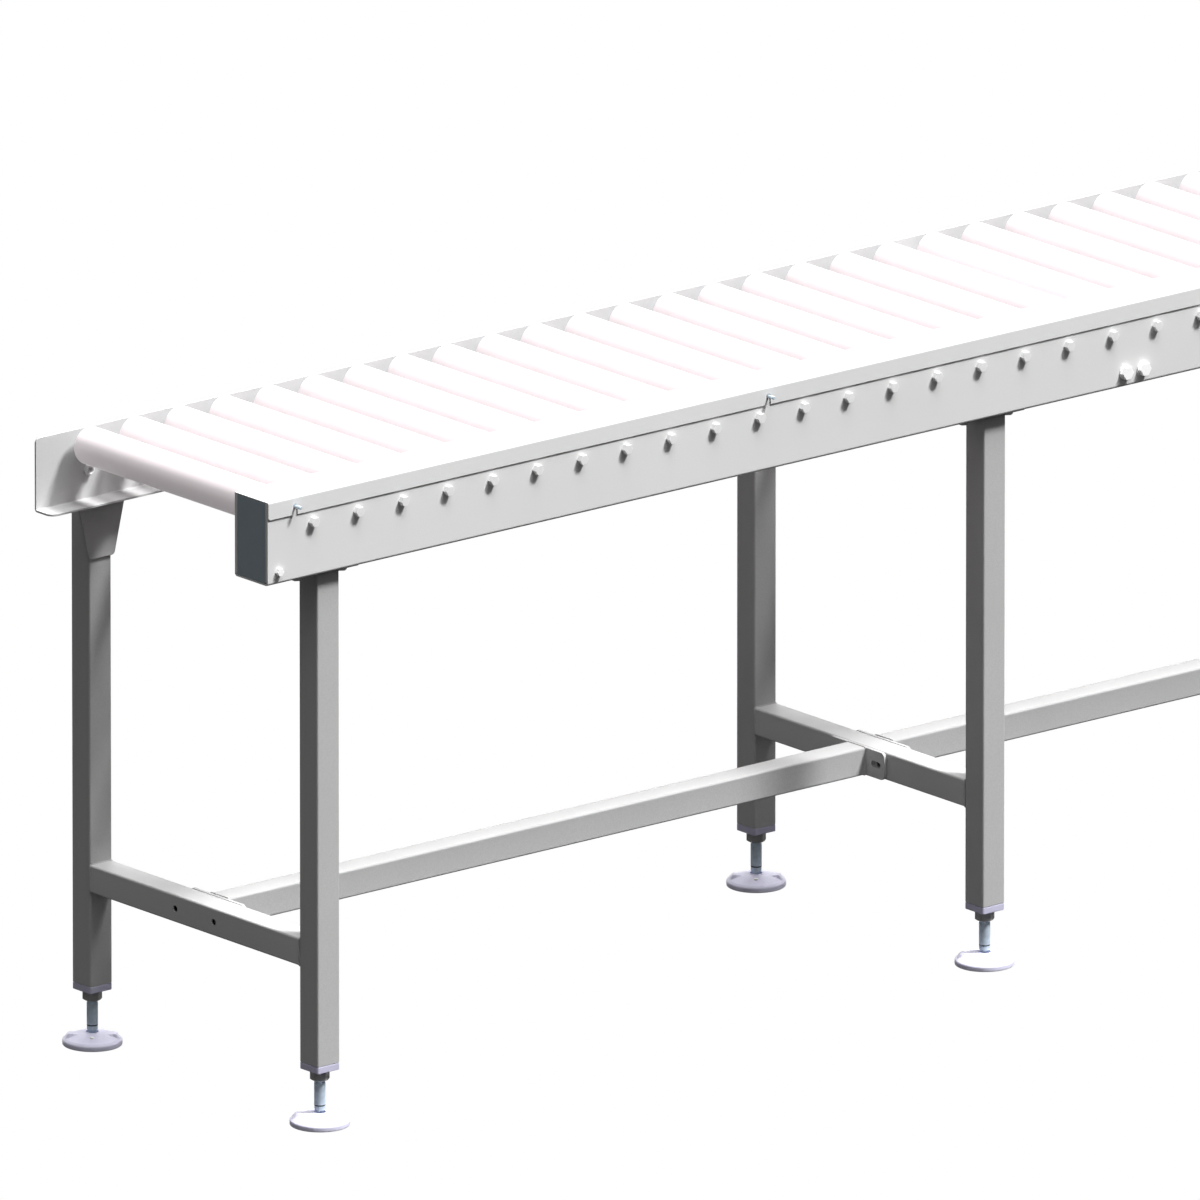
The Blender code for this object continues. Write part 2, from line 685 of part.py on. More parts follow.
painted_sheet = new_material("painted_sheet", (0.72, 0.72, 0.72), 0.45, 0.0)
painted_tube = new_material("painted_tube", (0.62, 0.62, 0.62), 0.50, 0.0)
roller_plastic = new_material("roller_plastic", (0.80, 0.78, 0.78), 0.35, 0.0)
cap_plastic = new_material("cap_plastic", (0.06, 0.07, 0.08), 0.60, 0.0)
insert_plastic = new_material("insert_plastic", (0.45, 0.45, 0.52), 0.55, 0.0)
zinc_steel = new_material("zinc_steel", (0.55, 0.65, 0.72), 0.30, 0.9)
pad_plastic = new_material("pad_plastic", (0.66, 0.65, 0.74), 0.50, 0.0)

make_rollers()
make_near_channel()
make_side_cover()
make_end_caps()
make_far_rail()
make_leg_frames()
make_floor_braces()
make_feet()
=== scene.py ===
"""The finished look of a gravity roller conveyor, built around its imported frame.

Shapes are worked out as whole numpy arrays: a profile turned about an axis, an outline carried along a line,
or a sheet laid out flat and then folded. Metres, +Z up. X runs along the conveyor, and Y runs across it, from
the covered side box (-Y) to the open side rail (+Y).
"""

from math import pi, radians, tan

import bpy
import numpy as np
from mathutils import Matrix, Vector


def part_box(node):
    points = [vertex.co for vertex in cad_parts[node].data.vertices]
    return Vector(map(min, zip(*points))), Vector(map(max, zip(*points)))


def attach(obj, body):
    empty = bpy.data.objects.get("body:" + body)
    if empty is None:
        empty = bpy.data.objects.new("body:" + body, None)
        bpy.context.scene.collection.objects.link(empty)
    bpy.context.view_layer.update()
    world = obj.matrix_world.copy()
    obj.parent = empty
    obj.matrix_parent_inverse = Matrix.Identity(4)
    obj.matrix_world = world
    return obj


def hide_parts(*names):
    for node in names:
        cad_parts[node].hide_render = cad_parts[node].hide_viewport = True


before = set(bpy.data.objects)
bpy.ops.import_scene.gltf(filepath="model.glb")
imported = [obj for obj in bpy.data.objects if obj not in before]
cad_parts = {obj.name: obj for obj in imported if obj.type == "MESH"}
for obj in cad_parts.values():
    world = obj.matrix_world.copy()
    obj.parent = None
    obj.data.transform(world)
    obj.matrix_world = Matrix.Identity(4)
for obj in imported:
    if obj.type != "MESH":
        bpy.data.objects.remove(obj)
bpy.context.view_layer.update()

show = bpy.context.scene.collection.objects.link

# Sheet metal
CHANNEL_SHEET = 0.0025
CHANNEL_BEND = 0.0045
COVER_SHEET = 0.0015
COVER_BEND = 0.002
COVER_CORNER = 0.004
COVER_GAP = 0.0003
RAIL_SHEET = 0.003
RAIL_BEND = 0.0045
RAIL_WIDTH = 0.037
RAIL_OUTER_FACE = 0.228
RAIL_TOP_CORNER = 0.007
RAIL_FLANGE_CORNER = 0.012
HEM_LENGTH = 0.016
SHEET_CHAMFER = 0.0003
NOTCH_RADIUS = 0.029
NOTCH_DRAFT = 0.0004
PIN_NOTCH_RADIUS = 0.0042
PIN_RADIUS = 0.0025
PIN_EDGE = 0.0008
PIN_COLLAR = (0.0045, 0.0008, 0.0012)
PIN_HEIGHT = 0.911
PIN_XS = np.array([-1.272, -0.424, 0.424, 1.272])

# End caps: the tab's height, length and thickness, a rib's thickness and depth, the screw's place
CAP_THICKNESS = 0.003
CAP_CORNER = 0.0015
CAP_TAB = (0.020, 0.027, 0.0022)
CAP_TAB_CORNER = 0.003
CAP_TAB_REACH = 0.0130
CAP_RIB = (0.002, 0.012)
CAP_SCREW = (0.019, 0.018)

# Cross tie between the side box and the rail
TIE_X = 0.240
TIE_SIZE = (0.060, 0.035)
TIE_HEIGHT = 0.8275
TIE_WINDOW_MARGIN = 0.0015
TIE_BOLT_HEIGHT = 0.825
TIE_BOLT_SPACING = 0.032

# Rollers and their axles
ROLLER_END_ROUND = 0.006
ROLLER_BORE = 0.0205
ROLLER_SIDES = 64
HOUSING_SIDES = 40
HOUSING_DEPTH = 0.014
HOUSING_LIP = 0.0010
SEAL_RADIUS = 0.0150
SHIELD_RADIUS = 0.0105
AXLE_PLAY = 0.0003
AXLE_RADIUS = 0.006

# Tubes, plates and welds
TUBE_WALL = 0.0025
TUBE_CORNER = 0.003
HEAD_PLATE = (0.110, 0.040, 0.005)
HEAD_PLATE_CORNER = 0.002
PLUG_THICKNESS = 0.003
PLUG_EDGE = 0.001
HEAD_BOLT_X = 0.040
BRACKET_CORNERS = ((0.0225, 0.709), (0.040, 0.783), (0.040, 0.866))
BRACKET_ROUND = 0.006
BRACKET_BOLT = (0.028, 0.842)
BRACE_PLATE = (0.120, 0.040, 0.005)
BRACE_PLATE_CORNER = 0.008
BRACE_HOLE_SPACING = 0.084
BRACE_SLOT = (0.020, 0.009)
HOLE_RADIUS = 0.00475
WELD_BEAD = 0.0014
WELD_SWELL = 0.10

# Feet
INSERT_FLANGE = 0.010
INSERT_EDGE = 0.0008
BOSS_CORNER = 0.001
JAM_NUT = (0.024, 0.015)
THREAD_PITCH = 0.002
THREAD_DEPTH = 0.0009
RINGS_A_PITCH = 6
THREAD_START = 0.060
THREAD_END = 0.110
SPANNER_FLATS = 0.0120
SPANNER_BOTTOM = 0.0185
SPANNER_BEVEL = 0.0012
SPANNER_SHOULDER = 0.0028
NECK_DEPTH = 0.0026
SPINDLE_TOP_CHAMFER = 0.002
GROOVE_BOTTOM = 0.0270
GROOVE_TOP = 0.0290
GROOVE_DEPTH = 0.0024
# The black ring in the groove is painted shade: how far short of the spindle's side its flanks stop, as a
# share of the groove's depth
SHADE_RING_BULGE = 0.3
BALL_HEIGHT = 0.0135
BALL_RADIUS = 0.0050
BALL_SWEEP = (-85.0, -60.0, -30.0, 0.0, 20.0)
PAD_SIDES = 96
PAD_EDGE = 0.0090
PAD_RIM_ROUND = 0.0035
PAD_FOOT_ROUND = 0.0015
DOME_RINGS = 30
DOME_POWER = 1.3
DOME_MARGIN = 0.003
SOCKET_LIP = (0.0012, 0.0008)
SOCKET = 0.0088
SOCKET_RIM = 0.0105
SOCKET_FLOOR = 0.006
LUG_TOP = 0.0160
LUG_HALF_WIDTH = 0.0070
LUG_SIDE = 0.0020
LUG_END = 0.0320
LUG_RUN_OUT = 0.0070
LUG_TURN = radians(-39.7)
STUD_RADIUS = 0.0034
STUD_OFFSET = 0.023
STUD_BOTTOM = 0.0130
STUD_HEIGHT = 0.0034
STUD_CHAMFER = 0.0008

# Screws: (across the flats, height of the head), and a washer's (radius, thickness)
M6 = (0.010, 0.006)
M8 = (0.013, 0.0078)
M10 = (0.017, 0.0064)
M10_WASHER = (0.0105, 0.002)
M8_NUT_BORE = 0.0042
NUT_SINK = 0.0008
HEX_FACE = 0.94

# Small allowances, and the steps of round shapes
EDGE = 0.0006
SMALLEST_CORNER = 0.0002
GAP = 0.0001
HEX_SIDES = 24
ARC_STEPS = 6

# Floor, lights (strength, spread in degrees, the way the light travels), surround and camera
FLOOR_RADIUS = 60.0
FLOOR_HEIGHT = -0.040
FLOOR_SIDES = 96
KEY_LIGHT = (4.8, 11, (-0.76, 1.0, -1.85))
OVERHEAD_LIGHT = (1.6, 22, (0.0, 0.28, -0.96))
SKY_LIGHT, SKY_LEAST = 0.7, 0.065
WALL_LIGHT, WALL_START, WALL_FULL = 2.0, 0.6, 0.95
WALL_DIRECTION = (0.615, 0.740, 0.270)
WHITE = (1.0, 1.0, 1.0, 1.0)
CAMERA_TARGET = (-0.2102, 0.3413, 0.4353)
CAMERA_AZIMUTH, CAMERA_ELEVATION = radians(-39.7), radians(16.42)
FIELD_WIDTH = 1.6772
LENS, SENSOR = 1700, 36

UP = (0, 0, 1)
DOWN = (0, 0, -1)
NEAR = (0, -1, 0)
FAR = (0, 1, 0)


def box_of(node):
    low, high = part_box(node)
    return np.array(low), np.array(high)


def numbered(prefix):
    """The CAD nodes with a prefix, in order, and the X of the middle of each."""
    names = sorted(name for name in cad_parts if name.startswith(prefix))
    return names, np.array([sum(box_of(name))[0] / 2 for name in names])


channel_low, channel_high = box_of("near_side_channel")
cover_low, cover_high = box_of("side_cover")
cap_low, cap_high = box_of("end_cap_infeed")
rail_low, rail_high = box_of("far_side_rail")
leg_low, leg_high = box_of("leg_frame_2")
brace_low, brace_high = box_of("floor_brace_1")
insert_low, insert_high = box_of("foot_insert_2_near")
far_insert_low, far_insert_high = box_of("foot_insert_2_far")
spindle_low, spindle_high = box_of("foot_spindle_2_near")
pad_low, pad_high = box_of("foot_pad_2_near")
roller_low, roller_high = box_of("roller_01")

ROLLERS, roller_xs = numbered("roller_")
LEG_FRAMES, frame_xs = numbered("leg_frame_")
BRACES, brace_xs = numbered("floor_brace_")

half_length = cover_high[0]
ends = half_length * np.array([-1, 1])
web_face = cover_low[1] + COVER_SHEET + COVER_GAP
inner_face = channel_high[1]
box_bottom = channel_low[2]
axle_height = (roller_low[2] + roller_high[2]) / 2
tube_size = insert_high[0] - insert_low[0]
tube_half = tube_size / 2
near_leg_y = (insert_low[1] + insert_high[1]) / 2
far_leg_y = (far_insert_low[1] + far_insert_high[1]) / 2
leg_bottom = leg_low[2]
brace_y = (brace_low[1] + brace_high[1]) / 2
brace_z = (brace_low[2] + brace_high[2]) / 2
spindle_radius = (spindle_high[0] - spindle_low[0]) / 2
pad_radius = (pad_high[0] - pad_low[0]) / 2


def grid(rows, columns, wrap_rows=False, wrap_columns=False):
    """Quads over rows of points: each joins two neighbours in a row to the two beyond them."""
    row = np.arange(rows if wrap_rows else rows - 1)[:, None]
    column = np.arange(columns if wrap_columns else columns - 1)[None, :]
    row_after, column_after = (row + 1) % rows, (column + 1) % columns
    corners = [
        row * columns + column,
        row * columns + column_after,
        row_after * columns + column_after,
        row_after * columns + column,
    ]
    return np.stack(corners, axis=-1).reshape(-1, 4)


def rings(points, closed=False):
    """A surface through rings of points, one a row, each counter-clockwise, from the bottom up.

    A closed surface joins its last ring to its first, and an open one ends in two flat faces.
    """
    rows, columns = points.shape[:2]
    faces = [grid(rows, columns, wrap_rows=closed, wrap_columns=True)]
    if not closed:
        first = np.arange(columns)
        faces += [first[::-1][None], (first + (rows - 1) * columns)[None]]
    return points.reshape(-1, 3), faces


def around(rows, sides, closed=False):
    """Rings about Z: the point at angle a is (radius cos a, radius sin a, height).

    Each row is (radius, height): numbers, or arrays with a line for each ring and a column for each point.
    """
    angle = np.linspace(0, 2 * pi, sides, endpoint=False)
    level = np.zeros((1, sides))
    radius = np.concatenate([out + level for out, _ in rows])
    height = np.concatenate([up + level for _, up in rows])
    return rings(np.stack([radius * np.cos(angle), radius * np.sin(angle), height], axis=-1), closed)


def turned(profile, sides=32, closed=False):
    """A profile of (radius, height) points turned once about Z."""
    profile = np.array(profile, float)
    return around([(profile[:, :1], profile[:, 1:])], sides, closed)


def quarter_round(radius, steps=4):
    """A quarter circle as (in from the side, up from the bottom), from the bottom edge round to the side."""
    turn = np.linspace(0, pi / 2, steps)
    return np.stack([radius * (1 - np.sin(turn)), radius * (1 - np.cos(turn))], axis=-1)


def outline(corners, radius, inset=0.0, steps=5):
    """A convex outline with round corners, pulled in by an inset.

    The centre of each corner's arc is where its two edges would meet if both moved in by the radius. The arc
    goes from the outward direction of one edge to that of the next.
    """
    corners = np.array(corners, float)
    edge = np.roll(corners, -1, axis=0) - corners
    edge /= np.linalg.norm(edge, axis=1, keepdims=True)
    outward = np.stack([edge[:, 1], -edge[:, 0]], axis=-1)
    before = np.roll(outward, 1, axis=0)
    inward = -(before + outward) / (1 + (before * outward).sum(axis=1, keepdims=True))
    depth = max(radius, inset + SMALLEST_CORNER)
    start = np.arctan2(before[:, 1], before[:, 0])
    swing = (np.arctan2(outward[:, 1], outward[:, 0]) - start) % (2 * pi)
    angle = start[:, None] + swing[:, None] * np.linspace(0, 1, steps)
    arc = (depth - inset) * np.stack([np.cos(angle), np.sin(angle)], axis=-1)
    return ((corners + inward * depth)[:, None] + arc).reshape(-1, 2)


def rectangle(width, height):
    x, y = width / 2, height / 2
    return [(-x, -y), (x, -y), (x, y), (-x, y)]


def carried(corners, radius, profile, closed=False, steps=5):
    """An outline carried along Z: the profile gives how far it is pulled in, and at which height."""
    points = []
    for inset, height in profile:
        ring = outline(corners, radius, inset, steps)
        points.append(np.column_stack([ring, np.full(len(ring), height)]))
    return rings(np.array(points), closed)


def plate(corners, radius, thickness, edge=EDGE):
    """A flat plate with its lower face at Z 0, and both its rims rounded."""
    lower = quarter_round(edge)
    upper = lower[::-1] * (1, -1) + (0, thickness)
    return carried(corners, radius, np.concatenate([lower, upper]))


def box_tube(width, height, length):
    """An open-ended rectangular tube along Z: up its outside, over the rim, down its inside and back."""
    wall, edge = TUBE_WALL, EDGE / 2
    outside = [(0, edge), (0, length - edge)]
    over = [(edge, length), (wall - edge, length)]
    inside = [(wall, length - edge), (wall, edge)]
    under = [(wall - edge, 0), (edge, 0)]
    return carried(rectangle(width, height), TUBE_CORNER, outside + over + inside + under, closed=True)


def hexagon_radius(across_flats, sides=HEX_SIDES):
    """The distance from a hexagon's middle to its side, at each angle round it.

    It is half the width over the cosine of the angle from the middle of the nearest flat.
    """
    angle = np.linspace(0, 2 * pi, sides, endpoint=False)
    from_flat = (angle + pi / 6) % (pi / 3) - pi / 6
    return across_flats / 2 / np.cos(from_flat)


def bolt_head(size):
    """A plain hexagon head whose rim is only just broken."""
    across_flats, height = size
    hexagon, rim = hexagon_radius(across_flats), EDGE / 2
    return around([(hexagon, 0), (hexagon, height - rim), (hexagon - rim, height)], HEX_SIDES)


def hexagon_nut(across_flats, height, bore):
    """A nut with a 30 degree cone on both ends, and a bore with small countersinks."""
    hexagon, face = hexagon_radius(across_flats), HEX_FACE * across_flats / 2
    cone, mouth = (hexagon - face) * tan(pi / 6), bore + NUT_SINK
    outside = [(face, 0), (hexagon, cone), (hexagon, height - cone), (face, height)]
    inside = [(mouth, height), (bore, height - NUT_SINK), (bore, NUT_SINK), (mouth, 0)]
    return around(outside + inside, HEX_SIDES, closed=True)


def washer(outer, thickness, bore):
    rim = EDGE / 2
    profile = [(outer - rim, 0), (outer, rim), (outer, thickness - rim), (outer - rim, thickness)]
    return turned(profile + [(bore, thickness), (bore, 0)], closed=True)


def rod(radius, length, edge=EDGE, sides=24):
    lower = quarter_round(edge)
    upper = lower[::-1] * (1, -1) + (0, length)
    return turned(np.concatenate([lower, upper]) * (-1, 1) + (radius, 0), sides)


def weld_bead(width, height, bead=WELD_BEAD, count=120, ripples=30):
    """A rippled fillet around a rectangular tube, where it stands on Z 0.

    Its section is a quarter circle whose radius swells and shrinks a little along the outline. The outline is
    read at even distances, and each section stands square to it.
    """
    ring = outline(rectangle(width, height), TUBE_CORNER)
    ring = np.concatenate([ring, ring[:1]])
    distance = np.concatenate([[0], np.cumsum(np.linalg.norm(np.diff(ring, axis=0), axis=1))])
    along = np.linspace(0, distance[-1], count, endpoint=False)
    even = np.stack([np.interp(along, distance, ring[:, axis]) for axis in (0, 1)], axis=-1)
    forward = np.roll(even, -1, axis=0) - np.roll(even, 1, axis=0)
    outward = np.stack([forward[:, 1], -forward[:, 0]], axis=-1)
    outward /= np.linalg.norm(forward, axis=1, keepdims=True)
    turn = np.linspace(0, pi / 2, ARC_STEPS)[:, None]
    swell = bead * (1 + WELD_SWELL * np.cos(2 * pi * ripples * along / distance[-1]))[None]
    sunk = np.full((1, count), -bead / 4)
    out = np.concatenate([sunk, swell * np.cos(turn), sunk])
    up = np.concatenate([sunk, swell * np.sin(turn), swell[:1]])
    return rings(np.concatenate([even + out[..., None] * outward, up[..., None]], axis=-1), closed=True)


def placed(shape, at, toward=UP):
    """The shape with its Z axis turned toward a direction, and its origin moved to a point."""
    points, faces = shape
    axis = np.array(toward, float)
    side = np.array((1.0, 0.0, 0.0) if abs(axis[2]) > 0.5 else (0.0, 0.0, 1.0))
    return points @ np.stack([side, np.cross(axis, side), axis]) + np.array(at, float), faces


def fold_path(points, bend, steps=5):
    """The path (y, z) of a sheet's outer face: straight runs, and a quarter circle at each fold."""
    points = np.array(points, float)
    runs = np.diff(points, axis=0)
    runs /= np.linalg.norm(runs, axis=1, keepdims=True)
    turn = np.linspace(0, pi / 2, steps)[:, None]
    bends = [
        corner - into * bend * (1 - np.sin(turn)) + out * bend * (1 - np.cos(turn))
        for corner, into, out in zip(points[1:-1], runs, runs[1:])
    ]
    return np.concatenate([points[:1], *bends, points[-1:]])


def corner_rows(radius, steps=ARC_STEPS):
    """Rows round a sheet's free corner: how far each lies from the edge, and how far it stops short."""
    turn = np.linspace(pi / 2, 0, steps)
    return radius * (1 - np.sin(turn)), radius * (1 - np.cos(turn))


def folded_sheet(path, xs, short=0.0, window=None):
    """A sheet's outer face: each row of the path (y, z) runs along X, and may vary in y and z with x.

    short is how far each row stops short of both ends. A window is (low x, high x, first row, last row).
    """
    path = np.array(path, float)
    rows, columns = len(path), len(xs)
    if path.ndim == 2:
        path = np.repeat(path[:, None], columns, axis=1)
    points = np.concatenate([np.tile(xs, (rows, 1))[..., None], path], axis=-1)
    points[:, 0, 0] += short
    points[:, -1, 0] -= short
    faces = grid(rows, columns)[:, ::-1]
    if window:
        low, high, first, last = window
        middle = ((xs[1:] + xs[:-1]) / 2)[None]
        row = np.arange(rows - 1)[:, None]
        keep = ~((middle > low) & (middle < high) & (row >= first) & (row < last))
        faces = faces[keep.ravel()]
    return points.reshape(-1, 3), [faces]


def notch_columns(centres, radius, steps=13):
    """Columns across U-shaped notches: round the arc, with one more just outside each upright side."""
    turn = np.linspace(0, pi, steps)
    arc = centres[:, None] - (radius - NOTCH_DRAFT) * np.cos(turn)
    sides = centres[:, None] + radius * np.array([-1, 1])
    return np.concatenate([arc.ravel(), sides.ravel()])


def notched_edge(xs, centres, radius, arc_height, edge_height, side):
    """The height of an edge with round notches, cut down (side -1) or up (side 1) past the arc height."""
    off = np.abs(xs[:, None] - centres).min(axis=1)
    inner = radius - NOTCH_DRAFT
    arc = arc_height + side * np.sqrt(np.clip(inner**2 - off**2, 0, None))
    return np.where(off < inner + NOTCH_DRAFT / 2, arc, edge_height)


def raw_mesh(name, shapes):
    """One mesh from shapes, each a pair of points and face arrays."""
    starts = np.cumsum([0] + [len(points) for points, _ in shapes])
    points = np.concatenate([points for points, _ in shapes])
    faces = [group + start for (_, groups), start in zip(shapes, starts) for group in groups]
    sizes = np.concatenate([np.full(len(group), group.shape[1]) for group in faces])
    corners = np.concatenate([group.ravel() for group in faces])
    mesh = bpy.data.meshes.new(name)
    mesh.vertices.add(len(points))
    mesh.vertices.foreach_set("co", points.astype(np.float32).ravel())
    mesh.loops.add(len(corners))
    mesh.loops.foreach_set("vertex_index", corners.astype(np.int32))
    mesh.polygons.add(len(sizes))
    mesh.polygons.foreach_set("loop_start", (np.cumsum(sizes) - sizes).astype(np.int32))
    mesh.update(calc_edges=True)
    mesh.validate()
    return mesh


def with_modifiers(mesh, *modifiers):
    """The mesh after modifiers, each given as (type, settings)."""
    helper = bpy.data.objects.new(mesh.name, mesh)
    show(helper)
    for kind, settings in modifiers:
        modifier = helper.modifiers.new(kind, kind)
        for key, value in settings.items():
            setattr(modifier, key, value)
    bpy.context.view_layer.update()
    made = bpy.data.meshes.new_from_object(helper.evaluated_get(bpy.context.evaluated_depsgraph_get()))
    bpy.data.objects.remove(helper)
    return made


def finished(name, shapes, wall=0.0, chamfer=0.0, cutters=(), sharp=32):
    """The shapes as one shaded mesh: a wall makes a sheet solid, and cutters leave holes."""
    mesh = raw_mesh(name, shapes)
    steps = []
    if wall:
        steps.append(("SOLIDIFY", {"thickness": wall, "offset": -1, "use_even_offset": True}))
    if cutters:
        cutter = bpy.data.objects.new("cutter", raw_mesh("cutter", cutters))
        show(cutter)
        steps.append(("BOOLEAN", {"operation": "DIFFERENCE", "object": cutter, "solver": "EXACT"}))
    if chamfer:
        steps.append(("BEVEL", {"width": chamfer, "segments": 1, "limit_method": "ANGLE"}))
    if steps:
        mesh = with_modifiers(mesh, *steps)
    if cutters:
        bpy.data.objects.remove(cutter)
    mesh.shade_smooth()
    mesh.set_sharp_from_angle(angle=radians(sharp))
    return with_modifiers(mesh, ("WEIGHTED_NORMAL", {"keep_sharp": True}))


def piece(name, mesh, materials, body="frame", at=(0, 0, 0), replaces=()):
    """One shown piece: its own copy of the mesh, in place, with its finish and its body."""
    own = mesh.copy()
    own.name = name
    own.transform(Matrix.Translation(Vector(at)))
    own.materials.clear()
    for material in materials if isinstance(materials, tuple) else (materials,):
        own.materials.append(material)
    obj = bpy.data.objects.new(name, own)
    show(obj)
    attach(obj, body)
    if replaces:
        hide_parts(*replaces)
    return obj


def repeated(parts, nodes, xs):
    """The parts, once for each CAD node at its x. The first part stands for the node."""
    meshes = [finished(name, shapes, cutters=cutters) for name, shapes, cutters, _, _ in parts]
    for number, (stood_for, x) in enumerate(zip(nodes, xs), 1):
        for (name, _, _, material, slot), mesh in zip(parts, meshes):
            replaced = [stood_for] if name == parts[0][0] else []
            piece(f"{name}_{number}", mesh, material, at=(x, 0, 0), replaces=replaced)


# Finishes


def node(tree, kind, sockets=None, **settings):
    """A shader node. A socket that is given another node's output is linked to it."""
    made = tree.nodes.new("ShaderNode" + kind)
    for key, value in settings.items():
        setattr(made, key, value)
    for key, value in (sockets or {}).items():
        if isinstance(value, bpy.types.NodeSocket):
            tree.links.new(value, made.inputs[key])
        else:
            made.inputs[key].default_value = value
    return made


def noise(tree, place, scale, detail=2.0, low=0.0, high=1.0):
    """Noise with about so many lumps a metre, stretched to run from low to high."""
    made = node(tree, "TexNoise", {"Vector": place, "Scale": scale, "Detail": detail})
    return node(tree, "MapRange", {0: made.outputs["Fac"], 1: 0.3, 2: 0.7, 3: low, 4: high}).outputs[0]


def tinted(tree, color, other, factor):
    return node(tree, "Mix", {0: factor, 6: (*color, 1.0), 7: other}, data_type="RGBA").outputs[2]


def scaled(color, share):
    return tuple(min(1.0, part * share) for part in color)


def mottled(tree, color, spread, factor):
    """A colour that runs from a little darker to a little paler."""
    return tinted(tree, scaled(color, 1 - spread), (*scaled(color, 1 + spread), 1.0), factor)


def edge_rub(tree, place, width, amount):
    """How rubbed the coat is: where the normal, rounded over a small radius, leaves the face's own."""
    whole, worn, patch_scale, patch_least = 0.99, 0.88, 90.0, 0.2
    rounded = node(tree, "Bevel", {"Radius": width}, samples=4).outputs["Normal"]
    flat = node(tree, "NewGeometry").outputs["Normal"]
    facing = node(tree, "VectorMath", {0: rounded, 1: flat}, operation="DOT_PRODUCT").outputs["Value"]
    edge = node(tree, "MapRange", {0: facing, 1: whole, 2: worn, 3: 0.0, 4: amount}).outputs[0]
    patch = noise(tree, place, patch_scale, 4.0, patch_least, 1.0)
    return node(tree, "Math", {0: edge, 1: patch}, operation="MULTIPLY").outputs[0]


def new_finish(name, metallic=0.0, specular=0.5, ior=1.5):
    material = bpy.data.materials.new(name)
    material.use_nodes = True
    tree = material.node_tree
    shader = tree.nodes["Principled BSDF"]
    for socket, value in (("Metallic", metallic), ("Specular IOR Level", specular), ("IOR", ior)):
        shader.inputs[socket].default_value = value
    place = node(tree, "TexCoord").outputs["Object"]
    return material, tree, shader, place


def linked(tree, shader, color, roughness, height, distance, strength):
    """The shader's colour, roughness and bump, each from another node."""
    bump = node(tree, "Bump", {"Height": height, "Distance": distance, "Strength": strength})
    outputs = {"Base Color": color, "Roughness": roughness, "Normal": bump.outputs["Normal"]}
    for socket, output in outputs.items():
        tree.links.new(output, shader.inputs[socket])


def powder_coat(name, level, roughness, speck):
    """Grey powder-coated steel: a fine orange peel, a slow drift in shade, specks, and edges rubbed pale."""
    peel_scale, speck_scale, drift_scale, gloss_scale = 900.0, 700.0, 5.0, 24.0
    drift, unevenness, rub_width, rub, rubbed_share = 0.03, 0.06, 0.0012, 0.25, 1.25
    material, tree, shader, place = new_finish(name, specular=0.4)
    color = (level,) * 3
    base = mottled(tree, color, drift, noise(tree, place, drift_scale, 3.0))
    specked = tinted(tree, scaled(color, 1 - speck), base, noise(tree, place, speck_scale, 1.0))
    pale = (*scaled(color, rubbed_share), 1.0)
    rubbed = {0: edge_rub(tree, place, rub_width, rub), 6: specked, 7: pale}
    worn = node(tree, "Mix", rubbed, data_type="RGBA").outputs[2]
    rough = noise(tree, place, gloss_scale, 3.0, roughness - unevenness, roughness + unevenness)
    linked(tree, shader, worn, rough, noise(tree, place, peel_scale), 0.0002, 0.12)
    return material


def moulded_plastic(name, color, roughness, drift=0.04):
    """Moulded plastic: a fine spark-eroded grain, faint flow marks and a slightly uneven gloss."""
    grain_scale, flow_scale, gloss_scale, unevenness = 1400.0, 40.0, 60.0, 0.07
    material, tree, shader, place = new_finish(name, specular=0.4)
    base = mottled(tree, color, drift, noise(tree, place, flow_scale, 4.0))
    rough = noise(tree, place, gloss_scale, 2.0, roughness - unevenness, roughness + unevenness)
    linked(tree, shader, base, rough, noise(tree, place, grain_scale), 0.0002, 0.25)
    return material


def roller_sleeve(name, color, glow, painted_glow_strength):
    """A smooth opal PVC sleeve, dulled in faint bands where goods have run, with fine turning lines.

    A faint warm emission is painted light: the sleeve glows, though it is no lamp, and its shaded side is
    lifted.
    """
    band_scale, gloss_scale, line_scale, drift, glossy, dull = 22.0, 34.0, 1100.0, 0.015, 0.34, 0.46
    material, tree, shader, place = new_finish(name, specular=0.45)
    # Painted light: a warm emission that makes the sleeve glow and lifts its shaded side
    shader.inputs["Emission Color"].default_value = (*glow, 1.0)
    shader.inputs["Emission Strength"].default_value = painted_glow_strength
    banded = node(tree, "Mapping", {"Vector": place, "Scale": (0.4, 1.0, 0.4)}).outputs[0]
    lines = node(tree, "Mapping", {"Vector": place, "Scale": (0.02, 1.0, 0.02)}).outputs[0]
    base = mottled(tree, color, drift, noise(tree, banded, band_scale, 3.0))
    rough = noise(tree, banded, gloss_scale, 4.0, glossy, dull)
    linked(tree, shader, base, rough, noise(tree, lines, line_scale, 1.0), 0.0001, 0.10)
    return material


def plated_steel(name, color, roughness, metallic, cloud=0.10):
    """Zinc plate: a cloudy, faintly mottled metal with a fine satin grain."""
    grain_scale, cloud_scale, gloss_scale, unevenness = 2200.0, 160.0, 260.0, 0.08
    material, tree, shader, place = new_finish(name, metallic=metallic)
    base = mottled(tree, color, cloud, noise(tree, place, cloud_scale, 4.0))
    rough = noise(tree, place, gloss_scale, 3.0, roughness - unevenness, roughness + unevenness)
    linked(tree, shader, base, rough, noise(tree, place, grain_scale), 0.0001, 0.15)
    return material


